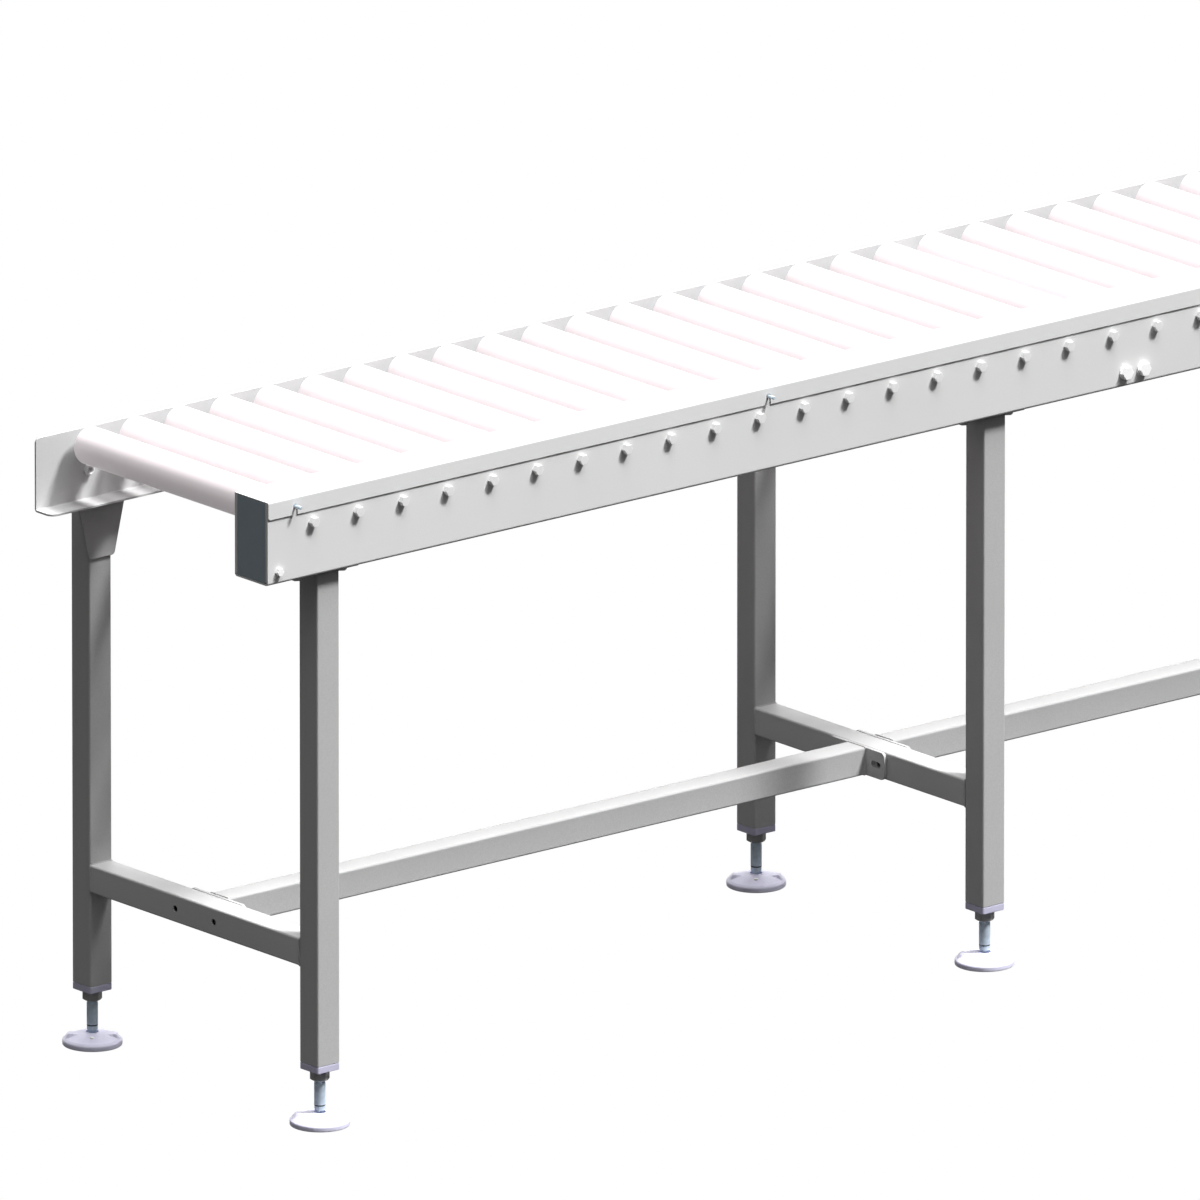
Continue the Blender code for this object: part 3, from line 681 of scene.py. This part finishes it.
sheet_coat = powder_coat("light_grey_box_coat", 0.72, 0.50, speck=0.03)
# A darker copy of the box's coat: painted shade that dims the open rail
sheet_coat_painted_darker = powder_coat("light_grey_sheet_coat_painted_darker", 0.60, 0.55, speck=0.05)
tube_coat = powder_coat("light_grey_leg_coat", 0.50, 0.55, speck=0.10)
# A lighter copy of the legs' coat: painted light that brightens the cross tubes and floor braces
tube_coat_painted_lighter = powder_coat("light_grey_tube_coat_painted_lighter", 0.62, 0.55, speck=0.10)
# The last two values are a painted glow: the emission colour and strength that lift the rollers' shaded sides
roller_pvc_painted_glow = roller_sleeve("roller_pvc_painted_glow", (0.77, 0.71, 0.725), (1.0, 0.92, 0.945), 0.22)
housing_plastic = moulded_plastic("bearing_housing_plastic", (0.45, 0.45, 0.47), 0.5)
cap_plastic = moulded_plastic("slate_cap_plastic", (0.32, 0.38, 0.425), 0.6, drift=0.02)
plug_plastic = moulded_plastic("dark_plug_plastic", (0.08, 0.08, 0.09), 0.55)
# Black for the ring in the spindle's groove: painted shade that darkens the groove
groove_shade_black = moulded_plastic("black_painted_groove_shade", (0.03, 0.035, 0.04), 0.7, drift=0.10)
insert_plastic = moulded_plastic("lavender_insert_plastic", (0.56, 0.55, 0.70), 0.55)
pad_plastic = moulded_plastic("pale_lavender_pad_plastic", (0.76, 0.75, 0.92), 0.5)
blue_zinc = plated_steel("blue_zinc", (0.66, 0.78, 0.88), 0.36, 0.3)
bright_zinc = plated_steel("bright_zinc", (0.98, 0.98, 0.98), 0.40, 0.0, cloud=0.02)
bolt_zinc = plated_steel("dull_bolt_zinc", (0.80, 0.80, 0.80), 0.45, 0.05, cloud=0.03)
nut_steel = plated_steel("dark_nut_steel", (0.42, 0.42, 0.40), 0.45, 0.1)


# Sheet metal of the two sides


def make_side_channel():
    """The U-shaped channel: a plain outer web, and an inner wall with an open notch for each roller."""
    top = channel_high[2]
    folds = [(web_face, top), (web_face, box_bottom), (inner_face, box_bottom), (inner_face, top)]
    path = fold_path(folds, CHANNEL_BEND)
    half_width = TIE_SIZE[0] / 2 + TIE_WINDOW_MARGIN
    half_height = TIE_SIZE[1] / 2 + TIE_WINDOW_MARGIN
    window_x = TIE_X + half_width * np.array([-1, 1])
    window_z = [(inner_face, TIE_HEIGHT - half_height), (inner_face, TIE_HEIGHT + half_height)]
    path = np.concatenate([path[:-1], window_z, path[-1:]])
    columns = [ends, window_x, notch_columns(roller_xs, NOTCH_RADIUS)]
    xs = np.unique(np.round(np.concatenate(columns), 6))
    rows = np.repeat(path[:, None], len(xs), axis=1)
    rows[-1, :, 1] = notched_edge(xs, roller_xs, NOTCH_RADIUS, axle_height, top, -1)
    window = (*window_x, len(path) - 3, len(path) - 2)
    channel = folded_sheet(rows, xs, window=window)
    mesh = finished("side_channel", [channel], wall=CHANNEL_SHEET, chamfer=SHEET_CHAMFER)
    piece("side_channel", mesh, sheet_coat, replaces=["near_side_channel"])

    hem_low, hem_high = box_bottom + CHANNEL_BEND, top - COVER_GAP
    hem = plate(rectangle(hem_high - hem_low, HEM_LENGTH), EDGE, CHANNEL_SHEET, EDGE / 2)
    height = (hem_low + hem_high) / 2
    hems = []
    for end in (-1, 1):
        x = end * (half_length - HEM_LENGTH / 2)
        hems.append(placed(hem, (x, web_face + CHANNEL_SHEET, height), FAR))
        hems.append(placed(hem, (x, inner_face - CHANNEL_SHEET, height), NEAR))
    piece("channel_end_hems", finished("hems", hems), sheet_coat)


def make_side_cover():
    """The cover: its top, and a lip with round end corners and an open notch over each pin."""
    top, lip_bottom, outer = cover_high[2], cover_low[2], cover_low[1]
    folds = [(inner_face, top), (outer, top), (outer, lip_bottom)]
    path = fold_path(folds, COVER_BEND)[:-1]
    above_edge, short = corner_rows(COVER_CORNER)
    beside_ends = ends * (1 - 2 * COVER_CORNER)
    columns = [ends, beside_ends, notch_columns(PIN_XS, PIN_NOTCH_RADIUS)]
    xs = np.unique(np.round(np.concatenate(columns), 6))
    lower = notched_edge(xs, PIN_XS, PIN_NOTCH_RADIUS, PIN_HEIGHT, lip_bottom, 1)
    lip = lower[None] + above_edge[::-1, None]
    lip = np.stack([np.full_like(lip, outer), lip], axis=-1)
    rows = np.concatenate([np.repeat(path[:, None], len(xs), axis=1), lip])
    short = np.concatenate([np.zeros(len(path)), short[::-1]])
    cover = folded_sheet(rows, xs, short)
    mesh = finished("cover", [cover], wall=COVER_SHEET, chamfer=SHEET_CHAMFER / 2)
    piece("lift_off_cover", mesh, sheet_coat, "side_cover", replaces=["side_cover"])


def make_far_rail():
    """The open rail: a flange with wide round corners, and a web with small ones."""
    bottom, top = rail_low[2], rail_high[2]
    flange_edge = RAIL_OUTER_FACE - RAIL_WIDTH
    folds = [(flange_edge, bottom), (RAIL_OUTER_FACE, bottom), (RAIL_OUTER_FACE, top)]
    path = fold_path(folds, RAIL_BEND)
    from_flange, short_flange = corner_rows(RAIL_FLANGE_CORNER)
    from_top, short_top = corner_rows(RAIL_TOP_CORNER)
    flange = np.stack([flange_edge + from_flange, np.full_like(from_flange, bottom)], axis=-1)
    crest = np.stack([np.full_like(from_top, RAIL_OUTER_FACE), top - from_top[::-1]], axis=-1)
    path = np.concatenate([flange, path[1:-1], crest])
    short = np.concatenate([short_flange, np.zeros(len(path) - len(flange) - len(crest)), short_top[::-1]])
    xs = np.sort(np.concatenate([ends, ends * (1 - 1.5 * RAIL_FLANGE_CORNER)]))
    mesh = finished("rail", [folded_sheet(path, xs, short)], wall=RAIL_SHEET, chamfer=SHEET_CHAMFER)
    piece("open_side_rail", mesh, sheet_coat_painted_darker, replaces=["far_side_rail"])


def make_end_caps():
    """Each cap: a plate between the hems, with a tab along the web for its screw and two ribs inside."""
    low, high = web_face + 2 * CHANNEL_SHEET, inner_face - 2 * CHANNEL_SHEET
    width, height = high - low - 2 * COVER_GAP, cap_high[2] - cap_low[2]
    middle = ((low + high) / 2, (cap_low[2] + cap_high[2]) / 2)
    tab_height, tab_length, tab_thickness = CAP_TAB
    rib_thickness, rib_depth = CAP_RIB
    face = plate(rectangle(height, width), CAP_CORNER, CAP_THICKNESS)
    tab = plate(rectangle(tab_height, tab_length), CAP_TAB_CORNER, tab_thickness)
    rib = plate(rectangle(height - rib_depth, rib_thickness), EDGE, rib_depth, EDGE / 2)
    screw_height = box_bottom + CAP_SCREW[1]
    for name, end in (("end_cap_infeed", -1), ("end_cap_outfeed", 1)):
        toward = (-end, 0, 0)
        x = end * half_length
        inside = x - end * CAP_THICKNESS
        shapes = [placed(face, (x, *middle), toward)]
        shapes.append(placed(tab, (inside - end * CAP_TAB_REACH, low + COVER_GAP, screw_height), FAR))
        for side in (-1, 1):
            shapes.append(placed(rib, (inside, middle[0] + side * width / 4, middle[1]), toward))
        piece(name + "_moulding", finished(name, shapes), cap_plastic, replaces=[name])


def make_side_fixings():
    """What is fixed to the side sheets: axle bolts, axles, cover pins, cap screws and the tie's bolts."""
    head = bolt_head(M8)
    near = [placed(head, (x, web_face, axle_height), NEAR) for x in roller_xs]
    far = [placed(head, (x, RAIL_OUTER_FACE, axle_height), FAR) for x in roller_xs]

    start = web_face + CHANNEL_SHEET
    axle = rod(AXLE_RADIUS, RAIL_OUTER_FACE - RAIL_SHEET - start)
    axles = [placed(axle, (x, start, axle_height), FAR) for x in roller_xs]

    pin = rod(PIN_RADIUS, start - channel_low[1], edge=PIN_EDGE)
    wide, low, high = PIN_COLLAR
    collar = turned([(wide, 0), (wide, low), (PIN_RADIUS, high), (PIN_RADIUS, 0)], HEX_SIDES, closed=True)
    pins = [placed(pin, (x, channel_low[1], PIN_HEIGHT), FAR) for x in PIN_XS]
    pins += [placed(collar, (x, start, PIN_HEIGHT), FAR) for x in PIN_XS]

    from_end, above_bottom = CAP_SCREW
    screw_x, screw_z = half_length - from_end, box_bottom + above_bottom
    screw = bolt_head(M6)
    screws = [placed(screw, (end * screw_x, web_face, screw_z), NEAR) for end in (-1, 1)]

    outer, thickness = M10_WASHER
    bolt_x = [TIE_X + side * TIE_BOLT_SPACING / 2 for side in (-1, 1)]
    disc, tie_head = washer(outer, thickness, AXLE_RADIUS), bolt_head(M10)
    bolts = [placed(tie_head, (x, web_face - thickness, TIE_BOLT_HEIGHT), NEAR) for x in bolt_x]
    washers = [placed(disc, (x, web_face, TIE_BOLT_HEIGHT), NEAR) for x in bolt_x]
    for name, shapes, material, slot in (
        ("near_axle_bolts", near, bolt_zinc, "painted_sheet"),
        ("far_axle_bolts", far, bolt_zinc, "painted_sheet"),
        ("roller_axles", axles, blue_zinc, "zinc_steel"),
        ("cover_pins", pins, blue_zinc, "zinc_steel"),
        ("cap_screws", screws, bright_zinc, "zinc_steel"),
        ("tie_bolts", bolts, bright_zinc, "zinc_steel"),
        ("tie_washers", washers, bright_zinc, "zinc_steel"),
    ):
        piece(name, finished(name, shapes), material)


def make_cross_tie():
    """A box section between the two side sheets, welded to the rail."""
    start = web_face + CHANNEL_SHEET + COVER_GAP
    end = RAIL_OUTER_FACE - RAIL_SHEET
    size = TIE_SIZE[::-1]
    tie = placed(box_tube(*size, end - start), (TIE_X, start, TIE_HEIGHT), FAR)
    weld = placed(weld_bead(*size), (TIE_X, end, TIE_HEIGHT), NEAR)
    for name, shape in (("cross_tie", tie), ("cross_tie_weld", weld)):
        piece(name, finished(name, [shape]), sheet_coat)


# Rollers


def make_rollers():
    """A sleeve with round shoulders, and in each end a stepped housing with the bearing's seal in it."""
    radius = (roller_high[0] - roller_low[0]) / 2
    half = (roller_high[1] - roller_low[1]) / 2
    shoulder = quarter_round(ROLLER_END_ROUND, 7) * (-1, 1) + (radius, -half)
    sleeve = np.concatenate([shoulder, shoulder[::-1] * (1, -1), [(ROLLER_BORE, half), (ROLLER_BORE, -half)]])
    rim, lip, bore, deep = ROLLER_BORE - GAP, HOUSING_LIP, AXLE_RADIUS + AXLE_PLAY, half - HOUSING_DEPTH
    seal, shield = SEAL_RADIUS, SHIELD_RADIUS
    steps = [(rim, 2), (rim - lip, 1), (seal + lip, 1), (seal, 2), (seal, 4)]
    steps += [(shield, 4), (shield, 3), (bore, 3)]
    housing = [(rim, deep), *((out, half - lips * lip) for out, lips in steps), (bore, deep)]
    flipped = np.array(housing)[::-1] * (1, -1)
    shapes = [turned(sleeve, ROLLER_SIDES, closed=True)]
    shapes += [turned(profile, HOUSING_SIDES, closed=True) for profile in (housing, flipped)]
    mesh = finished("roller", [placed(shape, (0, 0, 0), FAR) for shape in shapes])
    which = (np.arange(len(mesh.polygons)) >= len(sleeve) * ROLLER_SIDES).astype(np.int32)
    middle = (roller_low[1] + roller_high[1]) / 2
    both = (roller_pvc_painted_glow, housing_plastic)
    for name, x in zip(ROLLERS, roller_xs):
        obj = piece(name + "_sleeve", mesh, both, name, (x, middle, axle_height), [name])
        obj.data.polygons.foreach_set("material_index", which)


# Leg frames and braces


def tube_between(start, end, toward):
    """A square tube of the legs' size from one point to another along an axis."""
    length = float(np.linalg.norm(np.array(end) - np.array(start)))
    return placed(box_tube(tube_size, tube_size, length), start, toward)


def make_leg_frames():
    """Two legs and a cross tube, with a plate under the side box and a tapered one behind the rail."""
    length, width, thickness = HEAD_PLATE
    plate_bottom = box_bottom - COVER_GAP - thickness
    plug_bottom = leg_high[2] - PLUG_THICKNESS
    near_inner, far_inner = near_leg_y + tube_half, far_leg_y - tube_half
    near_leg = tube_between((0, near_leg_y, leg_bottom), (0, near_leg_y, plate_bottom), UP)
    far_leg = tube_between((0, far_leg_y, leg_bottom), (0, far_leg_y, plug_bottom), UP)
    cross = tube_between((0, near_inner, brace_z), (0, far_inner, brace_z), FAR)
    hole = turned([(HOLE_RADIUS, -tube_size), (HOLE_RADIUS, tube_size)])
    hole_ys = brace_y + BRACE_HOLE_SPACING / 2 * np.array([-1, 1])
    holes = [placed(hole, (0, y, brace_z), (1, 0, 0)) for y in hole_ys]
    head_plate = plate(rectangle(length, width), HEAD_PLATE_CORNER, thickness)
    head_plate = placed(head_plate, (0, near_leg_y, plate_bottom))
    corners = [(z, -x) for x, z in BRACKET_CORNERS] + [(z, x) for x, z in BRACKET_CORNERS[::-1]]
    bracket_start = RAIL_OUTER_FACE + COVER_GAP
    bracket = plate(corners, BRACKET_ROUND, far_inner - bracket_start)
    bracket = placed(bracket, (0, bracket_start, 0), FAR)
    bead = weld_bead(tube_size, tube_size)
    welds = [
        placed(bead, (0, near_inner, brace_z), FAR),
        placed(bead, (0, far_inner, brace_z), NEAR),
        placed(bead, (0, near_leg_y, plate_bottom), DOWN),
    ]
    bolt_x, bolt_z = BRACKET_BOLT
    head = bolt_head(M8)
    head_bolts = [placed(head, (side * HEAD_BOLT_X, near_leg_y, plate_bottom), DOWN) for side in (-1, 1)]
    rail_bolts = [placed(head, (side * bolt_x, far_inner, bolt_z), FAR) for side in (-1, 1)]
    nut = hexagon_nut(*M8, M8_NUT_BORE)
    rail_inner = RAIL_OUTER_FACE - RAIL_SHEET
    rail_bolts += [placed(nut, (side * bolt_x, rail_inner, bolt_z), NEAR) for side in (-1, 1)]
    plug = plate(rectangle(tube_size, tube_size), TUBE_CORNER, PLUG_THICKNESS, edge=PLUG_EDGE)
    plug = placed(plug, (0, far_leg_y, plug_bottom))

    painted = (tube_coat, "painted_tube")
    parts = [
        ("near_leg", [near_leg], (), *painted),
        ("far_leg", [far_leg], (), *painted),
        ("cross_tube", [cross], holes, tube_coat_painted_lighter, "painted_tube"),
        ("head_plate", [head_plate], (), *painted),
        ("bracket_plate", [bracket], (), *painted),
        ("leg_welds", welds, (), *painted),
        ("head_bolts", head_bolts, (), bolt_zinc, "zinc_steel"),
        ("rail_bolts", rail_bolts, (), bolt_zinc, "zinc_steel"),
        ("leg_plug", [plug], (), plug_plastic, "insert_plastic"),
    ]
    repeated(parts, LEG_FRAMES, frame_xs)


def make_floor_braces():
    """A tube between two leg frames, with a slotted plate welded to each end."""
    half = (brace_high[0] - brace_low[0]) / 2
    width, height, thickness = BRACE_PLATE
    reach = half - thickness
    tube = tube_between((-reach, brace_y, brace_z), (reach, brace_y, brace_z), (1, 0, 0))
    slot_length, slot_height = BRACE_SLOT
    slot_round = slot_height / 2 - SMALLEST_CORNER
    below, above = -thickness, 2 * thickness
    slot = carried(rectangle(slot_height, slot_length), slot_round, [(0, below), (0, above)], steps=9)
    vent = turned([(HOLE_RADIUS, below), (HOLE_RADIUS, above)])
    flat = plate(rectangle(height, width), BRACE_PLATE_CORNER, thickness)
    bead = weld_bead(tube_size, tube_size)
    plates, welds, holes = [], [], []
    for end in (-1, 1):
        inner = (end * reach, brace_y, brace_z)
        toward = (end, 0, 0)
        plates.append(placed(flat, inner, toward))
        holes.append(placed(vent, inner, toward))
        welds.append(placed(bead, inner, (-end, 0, 0)))
        for side in (-1, 1):
            beside = (inner[0], brace_y + side * BRACE_HOLE_SPACING / 2, brace_z)
            holes.append(placed(slot, beside, toward))
    parts = [
        ("brace_tube", [tube], (), tube_coat_painted_lighter, "painted_tube"),
        ("brace_end_plates", plates, holes, tube_coat_painted_lighter, "painted_tube"),
        ("brace_welds", welds, (), tube_coat_painted_lighter, "painted_tube"),
    ]
    repeated(parts, BRACES, brace_xs)


# Feet


def spindle_shape():
    """A ball end, spanner flats, a groove, a plain shank, then a thread whose radius is a triangle wave.

    The wave's phase is the height over the pitch less the share of a turn: its crest climbs a pitch a turn.
    """
    angle = np.linspace(0, 2 * pi, HEX_SIDES, endpoint=False)[None]
    sweep = np.radians(BALL_SWEEP)[:, None]
    off_flat = (angle + pi / 2) % pi - pi / 2
    flats = SPANNER_FLATS / 2 / np.maximum(np.cos(off_flat), SMALLEST_CORNER)
    flats = np.minimum(flats, spindle_radius - EDGE / 2)
    shank, groove, top = spindle_radius, spindle_radius - GROOVE_DEPTH, spindle_high[2]
    thread_rings = int((THREAD_END - THREAD_START) / (THREAD_PITCH / RINGS_A_PITCH))
    z = np.linspace(THREAD_START, THREAD_END, thread_rings)[:, None]
    phase = (z / THREAD_PITCH - angle / (2 * pi)) % 1.0
    fade = np.clip(np.minimum(z - THREAD_START, THREAD_END - z) / THREAD_PITCH, 0, 1)
    rows = [
        (BALL_RADIUS * np.cos(sweep), BALL_HEIGHT + BALL_RADIUS * np.sin(sweep)),
        (shank - NECK_DEPTH, SPANNER_BOTTOM),
        (flats - SPANNER_BEVEL, SPANNER_BOTTOM + SPANNER_BEVEL),
        (flats, SPANNER_BOTTOM + SPANNER_SHOULDER),
        (flats, GROOVE_BOTTOM),
        (groove, GROOVE_BOTTOM + GAP),
        (groove, GROOVE_TOP - GAP),
        (shank, GROOVE_TOP),
        (shank - THREAD_DEPTH * fade * np.abs(2 * phase - 1), z),
        (shank, top - SPINDLE_TOP_CHAMFER),
        (shank - SPINDLE_TOP_CHAMFER, top),
    ]
    return around(rows, HEX_SIDES)


def pad_shape():
    """A round pad: a thick rim, a low dome that rises to the spindle's socket, and two opposite lugs.

    The height of a point is the higher of the dome and the lugs. A lug is level where the distance across it
    is less than its half width, and it slopes away at its sides and, more gently, at its outer end.
    """
    angle = np.linspace(0, 2 * pi, PAD_SIDES, endpoint=False)[None]
    crest = pad_high[2]
    lip_width, lip_height = SOCKET_LIP
    radius = np.linspace(pad_radius - PAD_RIM_ROUND, SOCKET_RIM + DOME_MARGIN, DOME_RINGS)
    radius = np.append(radius, SOCKET_RIM + lip_width)[:, None]
    share = (pad_radius - radius) / (pad_radius - SOCKET_RIM)
    dome = PAD_EDGE + (crest - lip_height - PAD_EDGE) * np.sin(share * pi / 2) ** DOME_POWER
    across = np.abs(radius * np.sin(angle - LUG_TURN))
    outward = radius * np.abs(np.cos(angle - LUG_TURN))
    side_share = np.clip((LUG_HALF_WIDTH + LUG_SIDE - across) / LUG_SIDE, 0, 1)
    end_share = np.clip((LUG_END + LUG_RUN_OUT - outward) / LUG_RUN_OUT, 0, 1)
    rise = np.minimum(side_share, end_share)
    surface = dome + np.clip(LUG_TOP - dome, 0, None) * rise * rise * (3 - 2 * rise)
    rim = quarter_round(PAD_FOOT_ROUND) * (-1, 1) + (pad_radius, 0)
    shoulder = quarter_round(PAD_RIM_ROUND, ARC_STEPS)[::-1] * (-1, -1) + (pad_radius, PAD_EDGE)
    outside = np.concatenate([rim, shoulder[:-1]])
    socket = np.array([(SOCKET_RIM, crest), (SOCKET, crest), (SOCKET, SOCKET_FLOOR)])
    rows = [(outside[:, :1], outside[:, 1:]), (radius, surface), (socket[:, :1], socket[:, 1:])]
    return around(rows, PAD_SIDES)


def make_feet():
    """Each foot: an insert and a jam nut in the leg's end, a threaded spindle, and a pad on its ball."""
    nut_size, nut_height = JAM_NUT
    flange_bottom = insert_low[2] + nut_height
    flange_height = INSERT_FLANGE - COVER_GAP
    flange = plate(rectangle(tube_size, tube_size), TUBE_CORNER, flange_height, edge=INSERT_EDGE)
    boss_half = tube_half - TUBE_WALL - COVER_GAP
    boss_height = insert_high[2] - flange_bottom - INSERT_FLANGE
    boss = plate(rectangle(2 * boss_half, 2 * boss_half), BOSS_CORNER, boss_height)
    insert = [placed(flange, (0, 0, flange_bottom)), placed(boss, (0, 0, flange_bottom + INSERT_FLANGE))]
    nut = hexagon_nut(nut_size, nut_height, spindle_radius - THREAD_DEPTH)
    # A black ring that fills the spindle's groove: painted shade that darkens the groove
    groove_floor = spindle_radius - GROOVE_DEPTH
    shade_ring_edge = spindle_radius - SHADE_RING_BULGE * GROOVE_DEPTH
    shade_ring_profile = [
        (groove_floor, GROOVE_BOTTOM + GAP),
        (shade_ring_edge, GROOVE_BOTTOM + GAP),
        (spindle_radius - GAP, (GROOVE_BOTTOM + GROOVE_TOP) / 2),
        (shade_ring_edge, GROOVE_TOP - GAP),
        (groove_floor, GROOVE_TOP - GAP),
    ]
    stud_rim = [(STUD_RADIUS, STUD_HEIGHT - STUD_CHAMFER), (STUD_RADIUS - STUD_CHAMFER, STUD_HEIGHT)]
    stud = turned([(STUD_RADIUS, 0), *stud_rim], 20)
    away = STUD_OFFSET * np.array([np.cos(LUG_TURN - pi / 2), np.sin(LUG_TURN - pi / 2)])
    studs = [placed(stud, (*(side * away), STUD_BOTTOM)) for side in (1, -1)]
    parts = [
        ("foot_insert", insert, insert_plastic, "frame", "insert_plastic"),
        ("jam_nut", [placed(nut, (0, 0, insert_low[2]))], nut_steel, "frame", "zinc_steel"),
        ("foot_spindle", [spindle_shape()], blue_zinc, "foot_spindle", "zinc_steel"),
        ("groove_shade_ring", [turned(shade_ring_profile, closed=True)], groove_shade_black, "foot_spindle", "insert_plastic"),
        ("foot_pad", [pad_shape()], pad_plastic, "foot_pad", "pad_plastic"),
        ("pad_studs", studs, bright_zinc, "foot_pad", "zinc_steel"),
    ]
    meshes = [finished(name, shapes) for name, shapes, *_ in parts]
    for number, x in enumerate(frame_xs, 1):
        for side, y in (("near", near_leg_y), ("far", far_leg_y)):
            foot = f"{number}_{side}"
            for (name, _, material, carrier, slot), mesh in zip(parts, meshes):
                body = carrier if carrier == "frame" else f"{carrier}_{foot}"
                replaced = [f"{name}_{foot}"] if name.startswith("foot_") else []
                piece(f"{name}_{foot}_finish", mesh, material, body, (x, y, 0), replaced)


# Floor, light and camera


def make_floor():
    """A plain white floor disc, lit by itself, which only the camera sees.

    It lies low enough for the feet to be screwed all the way out above it.
    """
    disc = turned([(FLOOR_RADIUS, FLOOR_HEIGHT - GAP), (FLOOR_RADIUS, FLOOR_HEIGHT)], FLOOR_SIDES)
    floor = bpy.data.objects.new("floor", raw_mesh("floor", [disc]))
    show(floor)
    material = bpy.data.materials.new("white_floor")
    material.use_nodes = True
    tree = material.node_tree
    tree.nodes.clear()
    glow = node(tree, "Emission", {"Color": WHITE, "Strength": 1.0})
    out = node(tree, "OutputMaterial")
    tree.links.new(glow.outputs[0], out.inputs["Surface"])
    floor.data.materials.append(material)
    for ray in ("diffuse", "glossy", "transmission", "shadow"):
        setattr(floor, "visible_" + ray, False)


def add_sun(name, strength, spread, toward):
    """A distant light. Toward is the direction in which its light travels."""
    light = bpy.data.lights.new(name, "SUN")
    light.energy = strength
    light.angle = radians(spread)
    obj = bpy.data.objects.new(name, light)
    obj.rotation_mode = "QUATERNION"
    obj.rotation_quaternion = Vector(toward).to_track_quat("-Z", "Y")
    show(obj)


def make_light():
    """A key from above on the box's side, a broad light overhead, and a surround bright only behind."""
    add_sun("key", *KEY_LIGHT)
    add_sun("overhead", *OVERHEAD_LIGHT)

    world = bpy.data.worlds.new("studio")
    bpy.context.scene.world = world
    world.use_nodes = True
    tree = world.node_tree
    tree.nodes.clear()
    direction = node(tree, "TexCoord").outputs["Generated"]
    height = node(tree, "SeparateXYZ", {0: direction}).outputs["Z"]
    up = node(tree, "Math", {0: height, 1: 0.0}, operation="MAXIMUM").outputs[0]
    sky = node(tree, "Math", {0: up, 1: 2.0}, operation="POWER").outputs[0]
    dome = node(tree, "Math", {0: sky, 1: SKY_LIGHT, 2: SKY_LEAST}, operation="MULTIPLY_ADD").outputs[0]
    behind = node(tree, "VectorMath", {0: direction, 1: WALL_DIRECTION}, operation="DOT_PRODUCT")
    ramp = {0: behind.outputs["Value"], 1: WALL_START, 2: WALL_FULL, 3: 0.0, 4: WALL_LIGHT}
    wall = node(tree, "MapRange", ramp).outputs[0]
    total = node(tree, "Math", {0: dome, 1: wall}, operation="ADD").outputs[0]
    surround = node(tree, "Background", {"Color": WHITE, "Strength": total})
    white = node(tree, "Background", {"Color": WHITE, "Strength": 1.0})
    seen = node(tree, "LightPath").outputs["Is Camera Ray"]
    mixed = node(tree, "MixShader", {0: seen, 1: surround.outputs[0], 2: white.outputs[0]})
    out = node(tree, "OutputWorld")
    tree.links.new(mixed.outputs[0], out.inputs["Surface"])


def make_camera():
    """A very long lens, so that parallel edges stay parallel."""
    camera = bpy.data.cameras.new("camera")
    camera.sensor_width = SENSOR
    camera.lens = LENS
    distance = LENS * FIELD_WIDTH / SENSOR
    camera.clip_end = 4 * distance
    level = np.cos(CAMERA_ELEVATION)
    sideways, forward = np.sin(CAMERA_AZIMUTH) * level, -np.cos(CAMERA_AZIMUTH) * level
    back = Vector((sideways, forward, np.sin(CAMERA_ELEVATION)))
    holder = bpy.data.objects.new("camera", camera)
    holder.location = Vector(CAMERA_TARGET) + back * distance
    holder.rotation_mode = "QUATERNION"
    holder.rotation_quaternion = (-back).to_track_quat("-Z", "Y")
    show(holder)
    bpy.context.scene.camera = holder
    bpy.context.scene.view_settings.view_transform = "Standard"


make_side_channel()
make_side_cover()
make_far_rail()
make_end_caps()
make_side_fixings()
make_cross_tie()
make_rollers()
make_leg_frames()
make_floor_braces()
make_feet()
make_floor()
make_light()
make_camera()
